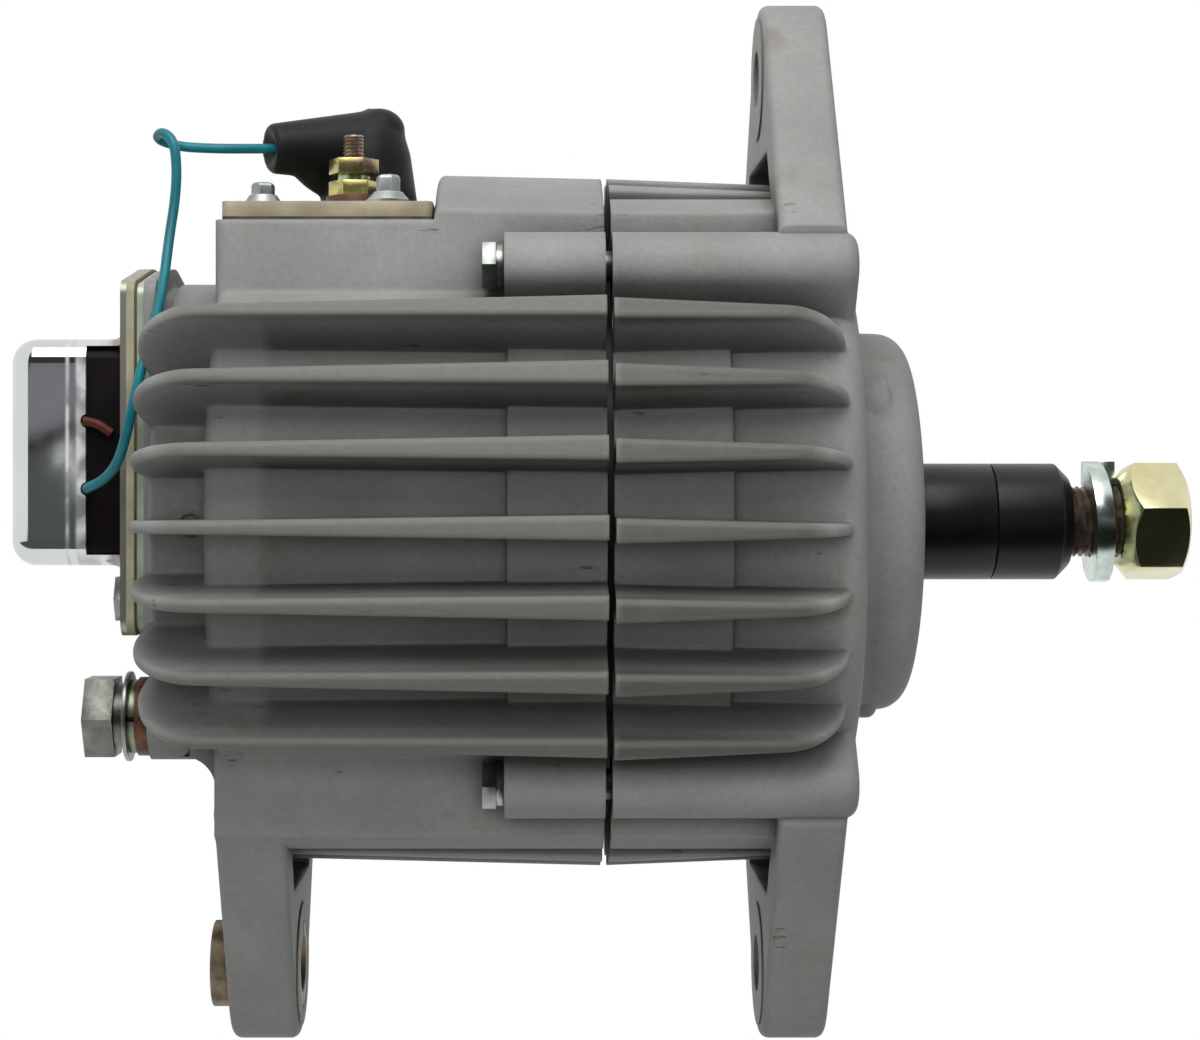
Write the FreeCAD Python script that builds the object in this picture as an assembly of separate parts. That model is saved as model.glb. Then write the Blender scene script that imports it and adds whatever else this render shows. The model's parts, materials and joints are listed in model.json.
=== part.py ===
import FreeCAD, Part
import math
import os

# A totally enclosed, air-cooled alternator with a hinge mount, in millimetres.
# The shaft runs along X with the drive end at +X, and Z is up.
# The origin is on the shaft axis at the flat face of the drive-end nose,
# where the sleeves or a pulley start.

os.makedirs("parts", exist_ok=True)
V = FreeCAD.Vector
X_AXIS = V(1, 0, 0)

# Fits and gaps
bolt_gap = 0.3  # radial gap round a bolt in its clearance hole
seat_gap = 0.05  # radial gap between pieces of one body that are pressed or screwed together
running_gap = 0.05  # radial gap in bearings and at the brushes
air_gap = 0.6  # rotor to stator
free_gap = 0.4  # between moving faces that aren't a fit

# The two castings
drive_depth = 69.45  # drive half, from its split face to the nose face
split_gap = 1.4  # the halves clamp the stator and don't touch each other
root_r = 63.0  # outside of the drum between the fins
drum_wall = 5.5
band_rise = 1.3  # raised band of the drum over the stator seat
rear_band_length = 20.0
drive_band_length = 23.9
rear_root_length = 80.95
drive_root_length = 51.25
root_corner_r = 6.0
rear_root_corner_r = 2.5
rear_wall = 6.45  # thickness of the rear half's end wall
drive_wall = 8.25
hub_r = 53.0  # the rear half's smaller end, behind the drum
hub_depth = 16.7  # from the drum's end to the regulator pad
hub_step = 4.3  # the hub's end face lies this far in front of the pad
pad_neck_inset = 4.0

# Fins
fin_pitch_deg = 12.0
fin_height = 13.3
fin_draft = 1.8  # drop of the tip from the split to the far end
fin_corner_r = 13.8
fin_edge_r = 0.9
fin_end_height = 7.0  # the fins' rear ends stand square down to here, then slant in to the hub
fin_split_thickness = 5.0
fin_end_thickness = 2.4
rear_fin_step = 2.0  # from the fins' rear ends to the regulator pad
low_fin_length = 78.5  # the fins under the drum stop in the foot
drive_fin_length = 47.75
drive_turn_deg = -0.5  # the drive half sits turned a little, as the bolt holes allow

# Bolt bosses and the flat cheeks between them
boss_outset = 6.07  # the bolts stand this far outside the cheeks
boss_rise = 7.504  # the bolts' circle lies this far outside the drum
boss_r = 7.0
boss_end_r = 3.0
rear_boss_length = 20.75
drive_boss_length = 50.55
cheek_half_width = 40.0
cheek_low_angle_deg = 64.0
cheek_overrun = 0.4  # the cheeks and the box reach this far behind the drum

# Through-bolts
bolt_r = 3.175
bolt_in_drive = 35.0
bolt_head_flats = 9.525
bolt_head_height = 2.8
bolt_washer_height = 1.7
bolt_washer_r = 4.6

# Terminal box on top of the rear half
top_block_length = 35.45
top_block_corner_r = 1.5
top_block_rise = 0.8
box_rise = 0.7  # the box's top stands this far above the drum
box_corner_r = 2.5
box_opening_margin = 7.0

# Hinge mount
mount_z = 99.1  # bolt holes above and below the shaft
mount_hole_r = 6.35
mount_span = 101.6  # from the foot's front face to the ear's rear face
lug_end_r = 16.4
lug_edge_r = 2.0
ear_thickness = 14.6
ear_back = 33.85  # split face to the ear's rear face
ear_base_half_width = 49.0
ear_base_drop = 1.5
foot_thickness = 15.2
pocket_depth = 6.5  # lightening pocket in the inner face of each lug
pocket_rim = 6.0  # rim left beside the pocket
pocket_reach = 19.0  # from the hole's centre to the pocket's near end
lug_root = 22.0  # the lugs reach this far down into the drum
lug_root_taper = 9.0
machined_r = 13.6  # machined ring round each bolt hole, where a bracket bears
machined_rise = 0.4

# Adjusting sleeve in the foot
sleeve_r = 9.525
sleeve_length = 19.9
sleeve_slit = 1.6

# Drive-end nose and bearing (25 x 62 x 17)
nose_r = 41.8
nose_tip_r = 14.6
nose_start = 52.4
nose_shoulder = 65.3
nose_edge_r = 6.0
nose_boss_r = 8.0  # bosses on the nose over the retainer's screws
nose_boss_depth = 9.9
nose_boss_edge_r = 2.0
front_bore = 12.5
front_outer = 31.0
front_width = 17.0
front_pitch = 21.75
front_ball_r = 5.6
front_ball_count = 8
front_cover = 5.0  # casting left in front of the bearing
retainer_outer = 40.5
retainer_inner = 24.0
retainer_thickness = 2.5
retainer_screw_pitch_r = 36.0
retainer_screw_r = 2.0
retainer_screw_count = 3
retainer_first_deg = 40.7
retainer_screw_reach = 7.0
retainer_head_r = 3.6
retainer_head_height = 2.0
seal_outer = 16.2
seal_depth = 2.2

cage_rim = 1.1  # cage left on each side of the balls

# Rear bearing (17 x 40 x 12)
rear_bore = 8.5
rear_outer = 20.0
rear_width = 12.0
rear_pitch = 14.25
rear_ball_r = 3.3
rear_ball_count = 8
rear_hub_boss_r = 26.0
rear_bearing_shoulder = 3.0
rear_shoulder_r = 14.5
ring_chamber_r = 17.5
holder_slot_gap = 1.0

# Stator
stator_cover = 2.6  # casting left outside the stator
stator_depth = 14.8  # from the core's outside to its bore
stator_length = 41.0
slot_count = 36
slot_width = 3.6
slot_depth = 9.0
winding_reach = 10.0
winding_inset = 1.8
winding_margin = 3.8

# Rotor
pole_count = 6  # fingers on each claw pole
pole_thickness = 11.0
pole_disc_step = 5.0  # the discs are this much smaller than the fingers
finger_root_deg = 17.0
finger_tip_deg = 8.0
finger_root_depth = 9.0
finger_tip_depth = 4.0
coil_gap = 32.0  # between the two pole discs
core_r = 22.0
coil_step = 7.0  # the coil's flanges are this much smaller than the discs
bobbin_wall = 1.4
rotor_centre_from_split = 1.45

# Shaft
shaft_pole_r = 11.5
shaft_shoulder_r = 15.5
shaft_seat_r = 11.1125  # seven-eighths seat for the sleeves or a pulley
thread_r = 7.9375  # five-eighths thread
thread_undercut = 2.4
ring_seat_r = 7.5

# Sleeves, lock washer and nut on the shaft
spacer_r = 13.0
inner_spacer_reach = 16.4  # nose face to the sleeve's front face
outer_spacer_length = 17.2
spacer_chamfer = 2.9
washer_back = 37.1
washer_outer = 13.5
washer_inner = 8.15
washer_thickness = 3.9
washer_rise = 4.1
nut_back = 45.1
nut_length = 14.2
nut_flats = 23.8
nut_turn_deg = -13.2
nut_back_flat_r = 9.8  # turned face at the washer's side
nut_back_chamfer = 3.4
nut_front_flat_r = 11.2
nut_front_chamfer = 1.6
shaft_in_nut = 2.0  # the shaft ends this far inside the nut's face

# Slip rings and brushes
ring_r = 13.5
ring_width = 6.0
ring_step = 7.5
sleeve_wall_r = 11.5
ring_sleeve_end = 1.9
brush_width = 5.0
brush_depth = 6.5
brush_top_z = 27.0
brush_gap = 0.1
holder_bottom_z = 15.5
holder_top_z = 40.0
holder_half_depth = 6.0
holder_roof = 2.5
holder_length = 17.5
spring_wire = 0.7
spring_r = 2.0
spring_turns = 5

# Rectifier
positive_sink_drop = 11.7
positive_sink_thickness = 3.5
sink_inset = 10.0
sink_edge_gap = 3.0
negative_sink_top_z = 12.0
negative_sink_inner = 29.0
negative_sink_thickness = 4.0
diode_r = 6.4
diode_height = 7.0
diode_spread_deg = 40.0
diode_inset = 11.0
diode_back = 7.0  # from the middle of the upper plate towards the rear

# Terminal plate and its fasteners
gasket_thickness = 0.7
plate_thickness = 3.2
plate_edge_inset = 0.6
plate_gap = 0.4
front_screw_x = 45.4  # split face to the screws at the front of the plate
rear_screw_x = 73.3
front_screw_inset = 6.0
rear_screw_y = 20.0
terminal_screw_r = 1.9
terminal_screw_length = 12.0
terminal_head_r = 2.95
terminal_head_height = 6.1
terminal_flange_r = 5.0
terminal_flange_height = 1.2

# Terminals
auxiliary_x = 53.85  # split face to the small stud
auxiliary_y = -17.0
auxiliary_r = 2.413
auxiliary_pitch_r = 2.2  # the thread's pitch radius, where the nuts grip it
auxiliary_reach = 13.3
auxiliary_free_gap = 0.3  # from the upper nut to the free thread
auxiliary_point = 0.4
auxiliary_nut_flats = 9.525
auxiliary_nut_height = 3.3
auxiliary_washer_height = 1.5
auxiliary_washer_r = 3.5
insulator_rise = 3.3
insulator_r = 6.0
insulator_neck = 1.2
output_x = 52.0
output_y = 5.0
output_r = 3.175
output_reach = 14.0
output_nut_flats = 11.1
output_nut_height = 5.6
tab_thickness = 1.2
tab_r = 6.2

# Rubber boot, measured up from the plate
boot_base_r = 11.6
boot_shoulder_r = 9.45
boot_shoulder_rise = 15.2
boot_neck_r = 7.9
boot_neck_rise = 20.4
boot_neck_round = 5.0
boot_height = 26.2
boot_leg_turn_deg = 25.0  # the leg points to the rear and this much to -Y
boot_leg_reach = 22.8
boot_leg_r = 5.6
boot_leg_rise = 15.4
boot_elbow_r = 8.3
boot_elbow_rise = 16.9
boot_seat = 0.1
boot_cavity_r = 7.4
boot_mouth_depth = 3.0
boot_cavity_height = 12.0

# Regulator
pad_thickness = 2.6
adapter_thickness = 1.5
regulator_gasket_thickness = 0.5
backing_thickness = 1.7
flange_thickness = 1.3
flange_half_width = 30.0
flange_peak_z = 57.0
flange_side_z = 51.5
flange_bottom_z = -24.0
cover_length = 24.2
cover_top_z = 39.6
cover_bottom_z = -9.1
cover_half_width = 28.5
cover_wall = 1.2
cover_edge_r = 5.4
cover_flare_r = 2.5
cover_window = 7.6  # open length of the sides, next to the flange
lead_notch_inset = 0.4  # the notch's centre lies this far inside the window's edge
lead_notch_r = 1.5
lead_entry_z = 7.4
red_entry_z = 21.9
cover_window_low = 2.4
cover_window_high = 1.6
potting_gap = 0.1
regulator_screw_z = -16.6
regulator_screw_y = 14.0
regulator_screw_r = 2.4
regulator_screw_reach = 12.0
regulator_head_flats = 9.5
regulator_head_height = 3.2

# Ground terminal
ground_y = -15.0
ground_z = -42.3
ground_r = 5.0
ground_boss_r = 9.4
ground_boss_rise = 0.3  # the boss stands proud of the regulator pad
ground_boss_length = 12.0
ground_bolt_depth = 11.0
ground_ring_height = 2.8
ground_ring_r = 8.6
ground_lock_height = 1.7
ground_lock_r = 8.0
ground_washer_height = 0.9
ground_washer_r = 9.8
ground_neck = 2.1
ground_neck_r = 7.2
ground_head_flats = 16.9
ground_head_height = 6.5

# Drain boss on the hub, under the level fin
drain_x = 84.45  # split face to the boss
drain_boss_r = 4.6
drain_boss_rise = 0.5
drain_hole_r = 2.4
drain_depth = 1.2

# Web from the hub down to the foot
web_half_width = 30.0
web_reach = 6.5
web_top_z = -49.5
web_low_z = -64.0
web_corner_r = 7.0

# Leads
green_r = 1.1
green_straight = 7.0  # straight run outside the boot
red_r = 1.0

# Stations along X that follow from the values above
drive_face = -drive_depth
rear_face = drive_face - split_gap
rear_depth = rear_root_length + hub_depth
pad_face = rear_face - rear_depth
hub_end = pad_face + hub_step
rear_fin_length = rear_depth - rear_fin_step
split_x = (drive_face + rear_face) / 2
bearing_front = -front_cover
bearing_back = bearing_front - front_width
ear_rear = drive_face + ear_back
foot_front = ear_rear - mount_span
foot_rear = foot_front - foot_thickness
rear_wall_in = rear_face - rear_root_length + rear_wall
rear_bearing_back = rear_wall_in - 1.5
rear_bearing_front = rear_bearing_back + rear_width
fin_tip_r = root_r + fin_height
drum_inner = root_r - drum_wall
stator_outer = root_r - stator_cover
stator_bore = stator_outer - stator_depth
winding_inner = stator_bore + winding_inset
winding_outer = stator_outer - winding_margin
seat_r = stator_outer + seat_gap
boss_y = cheek_half_width + boss_outset
boss_pitch_r = root_r + boss_rise
boss_angle_deg = math.degrees(math.acos(boss_y / boss_pitch_r))
cheek_length = rear_root_length + cheek_overrun
box_top_z = root_r + box_rise
ear_base_z = root_r - ear_base_drop
stator_x = split_x + 2.05
stator_back = stator_x - stator_length / 2
stator_front = stator_x + stator_length / 2
rotor_x = split_x + rotor_centre_from_split
rear_pole_front = rotor_x - coil_gap / 2
front_pole_back = rotor_x + coil_gap / 2
rotor_r = stator_bore - air_gap
pole_disc_r = rotor_r - pole_disc_step
coil_r = pole_disc_r - coil_step
box_rear = rear_face - cheek_length
box_front = rear_face - top_block_length
plate_bottom_z = box_top_z + gasket_thickness
plate_top_z = plate_bottom_z + plate_thickness
plate_rear = box_rear + plate_edge_inset + 0.8
plate_front = box_front - plate_gap
flange_front = pad_face - adapter_thickness - regulator_gasket_thickness - backing_thickness
flange_rear = flange_front - flange_thickness
cover_rear = flange_rear - cover_length
potting_side_y = -(cover_half_width - cover_wall - potting_gap)
positive_sink_z = box_top_z - positive_sink_drop
sink_half_width = cheek_half_width - sink_inset
diode_spacing = sink_half_width - diode_inset
negative_sink_outer = drum_inner - sink_edge_gap
diode_pitch_r = (negative_sink_outer + negative_sink_inner) / 2
front_screw_y = cheek_half_width - front_screw_inset
stud_base_z = plate_top_z + insulator_rise
boot_base_z = plate_top_z + boot_seat
boot_turn = math.radians(boot_leg_turn_deg)
boot_axis = V(rear_face - output_x, output_y, boot_base_z)
boot_elbow = boot_axis + V(0, 0, boot_elbow_rise)
boot_end = boot_axis + V(
    -boot_leg_reach * math.cos(boot_turn), -boot_leg_reach * math.sin(boot_turn), boot_leg_rise
)
boot_way = (boot_elbow - boot_end).normalize()
green_start = boot_end + boot_way * boot_mouth_depth
green_outside = boot_end - boot_way * green_straight
lead_entry_x = flange_rear - cover_window + lead_notch_inset

green_route = [
    tuple(green_start),
    tuple(green_outside),
    (-157.4, -9.4, 82.5),
    (-164.0, -10.2, 82.8),
    (-168.6, -12.5, 84.2),
    (-166.6, -16.5, 85.4),
    (-163.6, -18.8, 83.0),
    (-162.9, -19.2, 76.5),
    (-163.3, -19.6, 69.5),
    (-164.2, -21.8, 62.0),
    (-164.5, -28.5, 50.8),
    (-165.2, -37.5, 42.0),
    (-167.8, -44.5, 32.5),
    (-170.1, -45.5, 24.5),
    (-172.0, -42.5, 18.2),
    (-174.6, -38.6, 13.2),
    (-178.0, -34.6, 9.6),
    (lead_entry_x, -31.6, lead_entry_z),
    (lead_entry_x, potting_side_y, lead_entry_z),
]


def path(corners, place, closed=True):
    """Edges through corners (u, v) or (u, v, radius), with a tangent arc at each radius."""
    count = len(corners)
    points = [V(c[0], c[1], 0) for c in corners]
    starts, ends, middles = [], [], []
    for i, corner in enumerate(corners):
        here = points[i]
        radius = corner[2] if len(corner) > 2 else 0
        inner = closed or 0 < i < count - 1
        if not radius or not inner:
            starts.append(here)
            ends.append(here)
            middles.append(None)
            continue
        back = (points[i - 1] - here).normalize()
        ahead = (points[(i + 1) % count] - here).normalize()
        half = back.getAngle(ahead) / 2
        reach = radius / math.tan(half)
        bisector = (back + ahead).normalize()
        centre = here + bisector * (radius / math.sin(half))
        starts.append(here + back * reach)
        ends.append(here + ahead * reach)
        middles.append(centre - bisector * radius)
    edges = []
    for i in range(count):
        if middles[i] is not None:
            arc = [place(p.x, p.y) for p in (starts[i], middles[i], ends[i])]
            edges.append(Part.Arc(*arc).toShape())
        if i < count - 1 or closed:
            a, b = ends[i], starts[(i + 1) % count]
            if (b - a).Length > 1e-6:
                edges.append(Part.LineSegment(place(a.x, a.y), place(b.x, b.y)).toShape())
    return edges


def face(corners, place):
    return Part.Face(Part.Wire(path(corners, place)))


def turned(corners):
    """Solid of revolution about the shaft axis from corners (x, r) or (x, r, radius)."""
    profile = face(corners, lambda u, v: V(u, 0, v))
    return profile.revolve(V(0, 0, 0), X_AXIS, 360)


def slab_x(corners, x0, x1):
    """Plate square to X from corners (y, z)."""
    return face(corners, lambda u, v: V(x0, u, v)).extrude(V(x1 - x0, 0, 0))


def slab_y(corners, y0, y1):
    """Plate square to Y from corners (x, z)."""
    return face(corners, lambda u, v: V(u, y0, v)).extrude(V(0, y1 - y0, 0))


def slab_z(corners, z0, z1):
    """Plate square to Z from corners (x, y)."""
    return face(corners, lambda u, v: V(u, v, z0)).extrude(V(0, 0, z1 - z0))


def block(x0, x1, y0, y1, z0, z1):
    return Part.makeBox(x1 - x0, y1 - y0, z1 - z0, V(x0, y0, z0))


def rod_x(x0, x1, r, y=0.0, z=0.0):
    return Part.makeCylinder(r, x1 - x0, V(x0, y, z), X_AXIS)


def ring_x(x0, x1, outer, inner, y=0.0, z=0.0):
    return rod_x(x0, x1, outer, y, z).cut(rod_x(x0, x1, inner, y, z))


def rod_y(y0, y1, r, x=0.0, z=0.0):
    return Part.makeCylinder(r, y1 - y0, V(x, y0, z), V(0, 1, 0))


def rod_z(z0, z1, r, x=0.0, y=0.0):
    return Part.makeCylinder(r, z1 - z0, V(x, y, z0), V(0, 0, 1))


def hexagon(flats, u0=0.0, v0=0.0, turn_deg=0.0):
    r = flats / math.sqrt(3)
    angles = [math.radians(turn_deg + 60 * i) for i in range(6)]
    return [(u0 + r * math.cos(a), v0 + r * math.sin(a)) for a in angles]


def hex_x(x0, x1, flats, y=0.0, z=0.0):
    return slab_x(hexagon(flats, y, z), x0, x1)


def hex_z(z0, z1, flats, x=0.0, y=0.0, turn_deg=0.0):
    return slab_z(hexagon(flats, x, y, turn_deg), z0, z1)


def joined(first, *others):
    """One solid from overlapping pieces."""
    return first.multiFuse(list(others)).removeSplitter()


def mirror_y(shape):
    return shape.mirror(V(0, 0, 0), V(0, 1, 0))


def about_x(shape, degrees):
    copy = shape.copy()
    copy.rotate(V(0, 0, 0), X_AXIS, degrees)
    return copy


def ring_of(shape, count, step_deg=None):
    step = step_deg if step_deg else 360.0 / count
    return [about_x(shape, i * step) for i in range(count)]


def write(name, *solids):
    shape = solids[0] if len(solids) == 1 else Part.makeCompound(list(solids))
    shape.exportStep("parts/" + name + ".step")


# Castings


def fin(face_x, way, length, end_x, end_r, foot):
    """One fin standing up along +Z from the split face, its end slanting in from end_r to end_x."""
    far = face_x + way * length
    far_tip_r = fin_tip_r - fin_draft
    corner_r = min(fin_corner_r, 0.96 * (far_tip_r - end_r))
    side = slab_y(
        [
            (face_x, fin_tip_r),
            (far, far_tip_r, corner_r),
            (far, end_r),
            (end_x, foot),
            (end_x - way * root_corner_r, foot),
            (face_x, root_r - 1),
        ],
        -fin_tip_r / 2,
        fin_tip_r / 2,
    )
    a, b = fin_split_thickness / 2, fin_end_thickness / 2
    plan = slab_z([(face_x, -a), (face_x, a), (far, b), (far, -b)], 0, fin_tip_r + 1)
    one = side.common(plan)
    rim = [
        e
        for e in one.Edges
        if min(abs(v.Y) for v in e.Vertexes) > 0.1
        and len({v.Y > 0 for v in e.Vertexes}) == 1
        and min(v.Z for v in e.Vertexes) > end_r
        and max(abs(v.X - face_x) for v in e.Vertexes) > 1
    ]
    return one.makeFillet(min(fin_edge_r, 0.4 * fin_end_thickness), rim)


def fins(one, elevations):
    """Copies of a fin at the given elevations, where 0 points to -Y and 90 points up."""
    return [about_x(one, 90 - e) for e in elevations]


def polar(r, elevation_deg):
    a = math.radians(elevation_deg)
    return (-r * math.cos(a), r * math.sin(a))


def bolt_places():
    side = boss_angle_deg
    return [polar(boss_pitch_r, e) for e in (side, -side, 180 - side, 180 + side)]


def boss(x0, x1):
    """Bolt boss with a web down to the drum, built on top along +Z."""
    inner_z = root_r - boss_r
    outline = [
        (-boss_r, inner_z),
        (-boss_r, boss_pitch_r + boss_r, boss_r * 0.98),
        (boss_r, boss_pitch_r + boss_r, boss_r * 0.98),
        (boss_r, inner_z),
    ]
    return slab_x(outline, x0, x1)


def bosses(x0, x1, rounded_x=None):
    one = boss(x0, x1)
    if rounded_x is not None:
        rim = [
            e
            for e in one.Edges
            if all(abs(v.X - rounded_x) < 0.01 for v in e.Vertexes)
            and max(v.Z for v in e.Vertexes) > root_r
        ]
        one = one.makeFillet(boss_end_r, rim)
    side = boss_angle_deg
    return [about_x(one, 90 - e) for e in (side, -side, 180 - side, 180 + side)]


def cheek(x0, x1, way):
    """Flat side wall between a boss and the fins above or below, down to the tip circle."""
    low = polar(root_r - drum_wall, cheek_low_angle_deg)
    far = polar(fin_tip_r * 1.2, cheek_low_angle_deg)
    start_z = math.sqrt(root_r**2 - cheek_half_width**2) - 4
    outline = [
        (-cheek_half_width, start_z),
        (-cheek_half_width, fin_tip_r * 1.2 * math.sin(math.radians(cheek_low_angle_deg)) + 1),
        far,
        low,
    ]
    one = slab_x([(u, way * v) for u, v in outline], x0, x1)
    one = one.common(rod_x(x0, x1, fin_tip_r))
    return [one, mirror_y(one)]


def lug(x0, x1, base_half_width, base_z, pocket_x):
    """Mounting lug pointing up, with a round end about its hole and a pocket at pocket_x."""
    rise = mount_z - base_z
    span = math.hypot(base_half_width, rise)
    lean = math.atan2(base_half_width, rise) - math.asin(lug_end_r / span)
    edge = (lug_end_r * math.cos(lean), mount_z + lug_end_r * math.sin(lean))
    top_z = mount_z + lug_end_r
    cut = lug_end_r * math.tan((math.pi / 2 - lean) / 2)
    outline = [
        (-base_half_width, base_z),
        (-base_half_width + lug_root_taper, base_z - lug_root),
        (base_half_width - lug_root_taper, base_z - lug_root),
        (base_half_width, base_z),
        (cut, top_z, lug_end_r * 0.999),
        (-cut, top_z, lug_end_r * 0.999),
    ]
    machined_back = pocket_x < (x0 + x1) / 2
    if machined_back:
        bearing_x, x0 = x0, x0 + machined_rise
    else:
        bearing_x, x1 = x1, x1 - machined_rise
    body = slab_x(outline, x0, x1)
    rim = [
        e
        for e in body.Edges
        if (abs(e.Vertexes[0].X - x0) < 0.01 and abs(e.Vertexes[-1].X - x0) < 0.01)
        or (abs(e.Vertexes[0].X - x1) < 0.01 and abs(e.Vertexes[-1].X - x1) < 0.01)
    ]
    rim = [e for e in rim if e.CenterOfMass.z > base_z + 1]
    body = body.makeFillet(lug_edge_r, rim)
    near_z = mount_z - pocket_reach
    near_half = edge[0] + (base_half_width - edge[0]) * pocket_reach / (mount_z - base_z)
    near_half -= pocket_rim * 1.6
    low_half = base_half_width - pocket_rim * 2.4
    pocket = slab_x(
        [
            (-near_half, near_z, 3.0),
            (-low_half, base_z + 2, 3.0),
            (low_half, base_z + 2, 3.0),
            (near_half, near_z, 3.0),
        ],
        pocket_x if machined_back else pocket_x - pocket_depth,
        pocket_x + pocket_depth if machined_back else pocket_x,
    )
    machined = sorted((bearing_x, (x0 + x1) / 2))
    return body.cut(pocket).fuse(rod_x(*machined, machined_r, 0, mount_z)).removeSplitter()


def rear_housing():
    back = rear_face - rear_root_length
    shell = turned(
        [
            (rear_face, 0),
            (rear_face, root_r + band_rise),
            (rear_face - rear_band_length, root_r + band_rise),
            (rear_face - rear_band_length, root_r),
            (back, root_r, rear_root_corner_r),
            (back, hub_r, 2.0),
            (hub_end, hub_r, 1.5),
            (hub_end, 0),
        ]
    )
    elevations = [fin_pitch_deg * i for i in range(-3, 4)]
    elevations += [180 - e for e in elevations]
    one = fin(rear_face, -1, rear_fin_length, hub_end, hub_r + fin_end_height, hub_r - 1)
    added = fins(one, elevations)
    low_end = rear_face - low_fin_length
    low = fin(rear_face, -1, low_fin_length, low_end + 0.5, root_r - 2, root_r - 4)
    added += fins(low, [-90 - fin_pitch_deg * i for i in (-1.5, -0.5, 0.5, 1.5)])
    added += bosses(rear_face - rear_boss_length, rear_face)
    added += cheek(box_rear, rear_face, -1)
    block_top = turned(
        [
            (rear_face, 0),
            (rear_face, fin_tip_r),
            (box_front, fin_tip_r + top_block_rise, top_block_corner_r),
            (box_front, 0),
        ]
    )
    w = cheek_half_width
    start_z = math.sqrt(root_r**2 - w**2) - 4
    added.append(block_top.common(block(box_front, rear_face, -w, w, start_z, fin_tip_r * 1.1)))
    box = slab_z(
        [
            (box_front + 1, -w),
            (box_front + 1, w),
            (box_rear, w, box_corner_r),
            (box_rear, -w, box_corner_r),
        ],
        start_z,
        box_top_z,
    )
    added.append(box)
    foot = lug(foot_rear, foot_front, w, root_r, foot_front)
    added.append(about_x(foot, 180))
    boss_face = pad_face - ground_boss_rise
    boss_front = boss_face + ground_boss_length
    added.append(rod_x(boss_face, boss_front, ground_boss_r, ground_y, ground_z))
    added.append(slab_x(peak_outline(), pad_face, pad_face + pad_thickness))
    added.append(slab_x(peak_outline(pad_neck_inset), pad_face + 0.5, hub_end + 1))
    drain = rear_face - drain_x
    added.append(rod_y(-hub_r - drain_boss_rise, -hub_r + drain_depth + 1, drain_boss_r, drain, 0))
    web = [
        (box_rear + 1, web_low_z),
        (box_rear - 1, web_low_z),
        (box_rear - 1, web_top_z, web_corner_r),
        (box_rear - web_reach, web_top_z),
        (box_rear - web_reach, web_top_z + 6),
        (box_rear + 1, web_top_z + 6),
    ]
    added.append(slab_y(web, -web_half_width, web_half_width))
    body = joined(shell, *added)
    cavity = turned(
        [
            (rear_face + 1, 0),
            (rear_face + 1, seat_r),
            (stator_back - seat_gap, seat_r),
            (stator_back - seat_gap, drum_inner),
            (rear_wall_in, drum_inner, 3.0),
            (rear_wall_in, rear_hub_boss_r),
            (rear_bearing_front + 1.5, rear_hub_boss_r),
            (rear_bearing_front + 1.5, rear_outer + seat_gap),
            (rear_bearing_back, rear_outer + seat_gap),
            (rear_bearing_back, rear_shoulder_r),
            (rear_bearing_back - rear_bearing_shoulder, rear_shoulder_r),
            (rear_bearing_back - rear_bearing_shoulder, ring_chamber_r),
            (pad_face - 1, ring_chamber_r),
            (pad_face - 1, 0),
        ]
    )
    m = box_opening_margin
    top_hole = block(plate_rear + m, plate_front - m, -w + m, w - m, drum_inner / 2, box_top_z + 1)
    cuts = [cavity, top_hole]
    for y, z in bolt_places():
        cuts.append(rod_x(pad_face, rear_face + 1, bolt_r + bolt_gap, y, z))
    cuts.append(rod_x(foot_rear - 1, foot_front + 1, sleeve_r + running_gap, 0, -mount_z))
    for x, y in terminal_screw_places():
        z0 = plate_top_z - terminal_screw_length - 1
        cuts.append(rod_z(z0, box_top_z + 1, terminal_screw_r + seat_gap, x, y))
    share = drain_x / rear_fin_length
    thickness = fin_split_thickness + (fin_end_thickness - fin_split_thickness) * share
    recess = rod_y(-hub_r - drain_boss_rise - 0.1, -hub_r + drain_depth, drain_hole_r, drain, 0)
    web_over = block(
        drain - drain_boss_r,
        drain + drain_boss_r,
        -hub_r - 1,
        -hub_r + drain_depth + 1,
        -thickness / 2,
        thickness / 2,
    )
    cuts.append(recess.cut(web_over))
    for y in (-regulator_screw_y, regulator_screw_y):
        x1 = pad_face + regulator_screw_reach
        cuts.append(rod_x(pad_face - 1, x1, regulator_screw_r + seat_gap, y, regulator_screw_z))
    hole_end = boss_face + ground_bolt_depth + 1
    cuts.append(rod_x(boss_face - 1, hole_end, ground_r + seat_gap, ground_y, ground_z))
    slot = holder_half_depth + holder_slot_gap
    slot_front = rear_bearing_back - rear_bearing_shoulder
    cuts.append(block(pad_face - 1, slot_front, -slot, slot, 0, holder_top_z + holder_slot_gap))
    return body.cut(Part.makeCompound(cuts))


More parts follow.
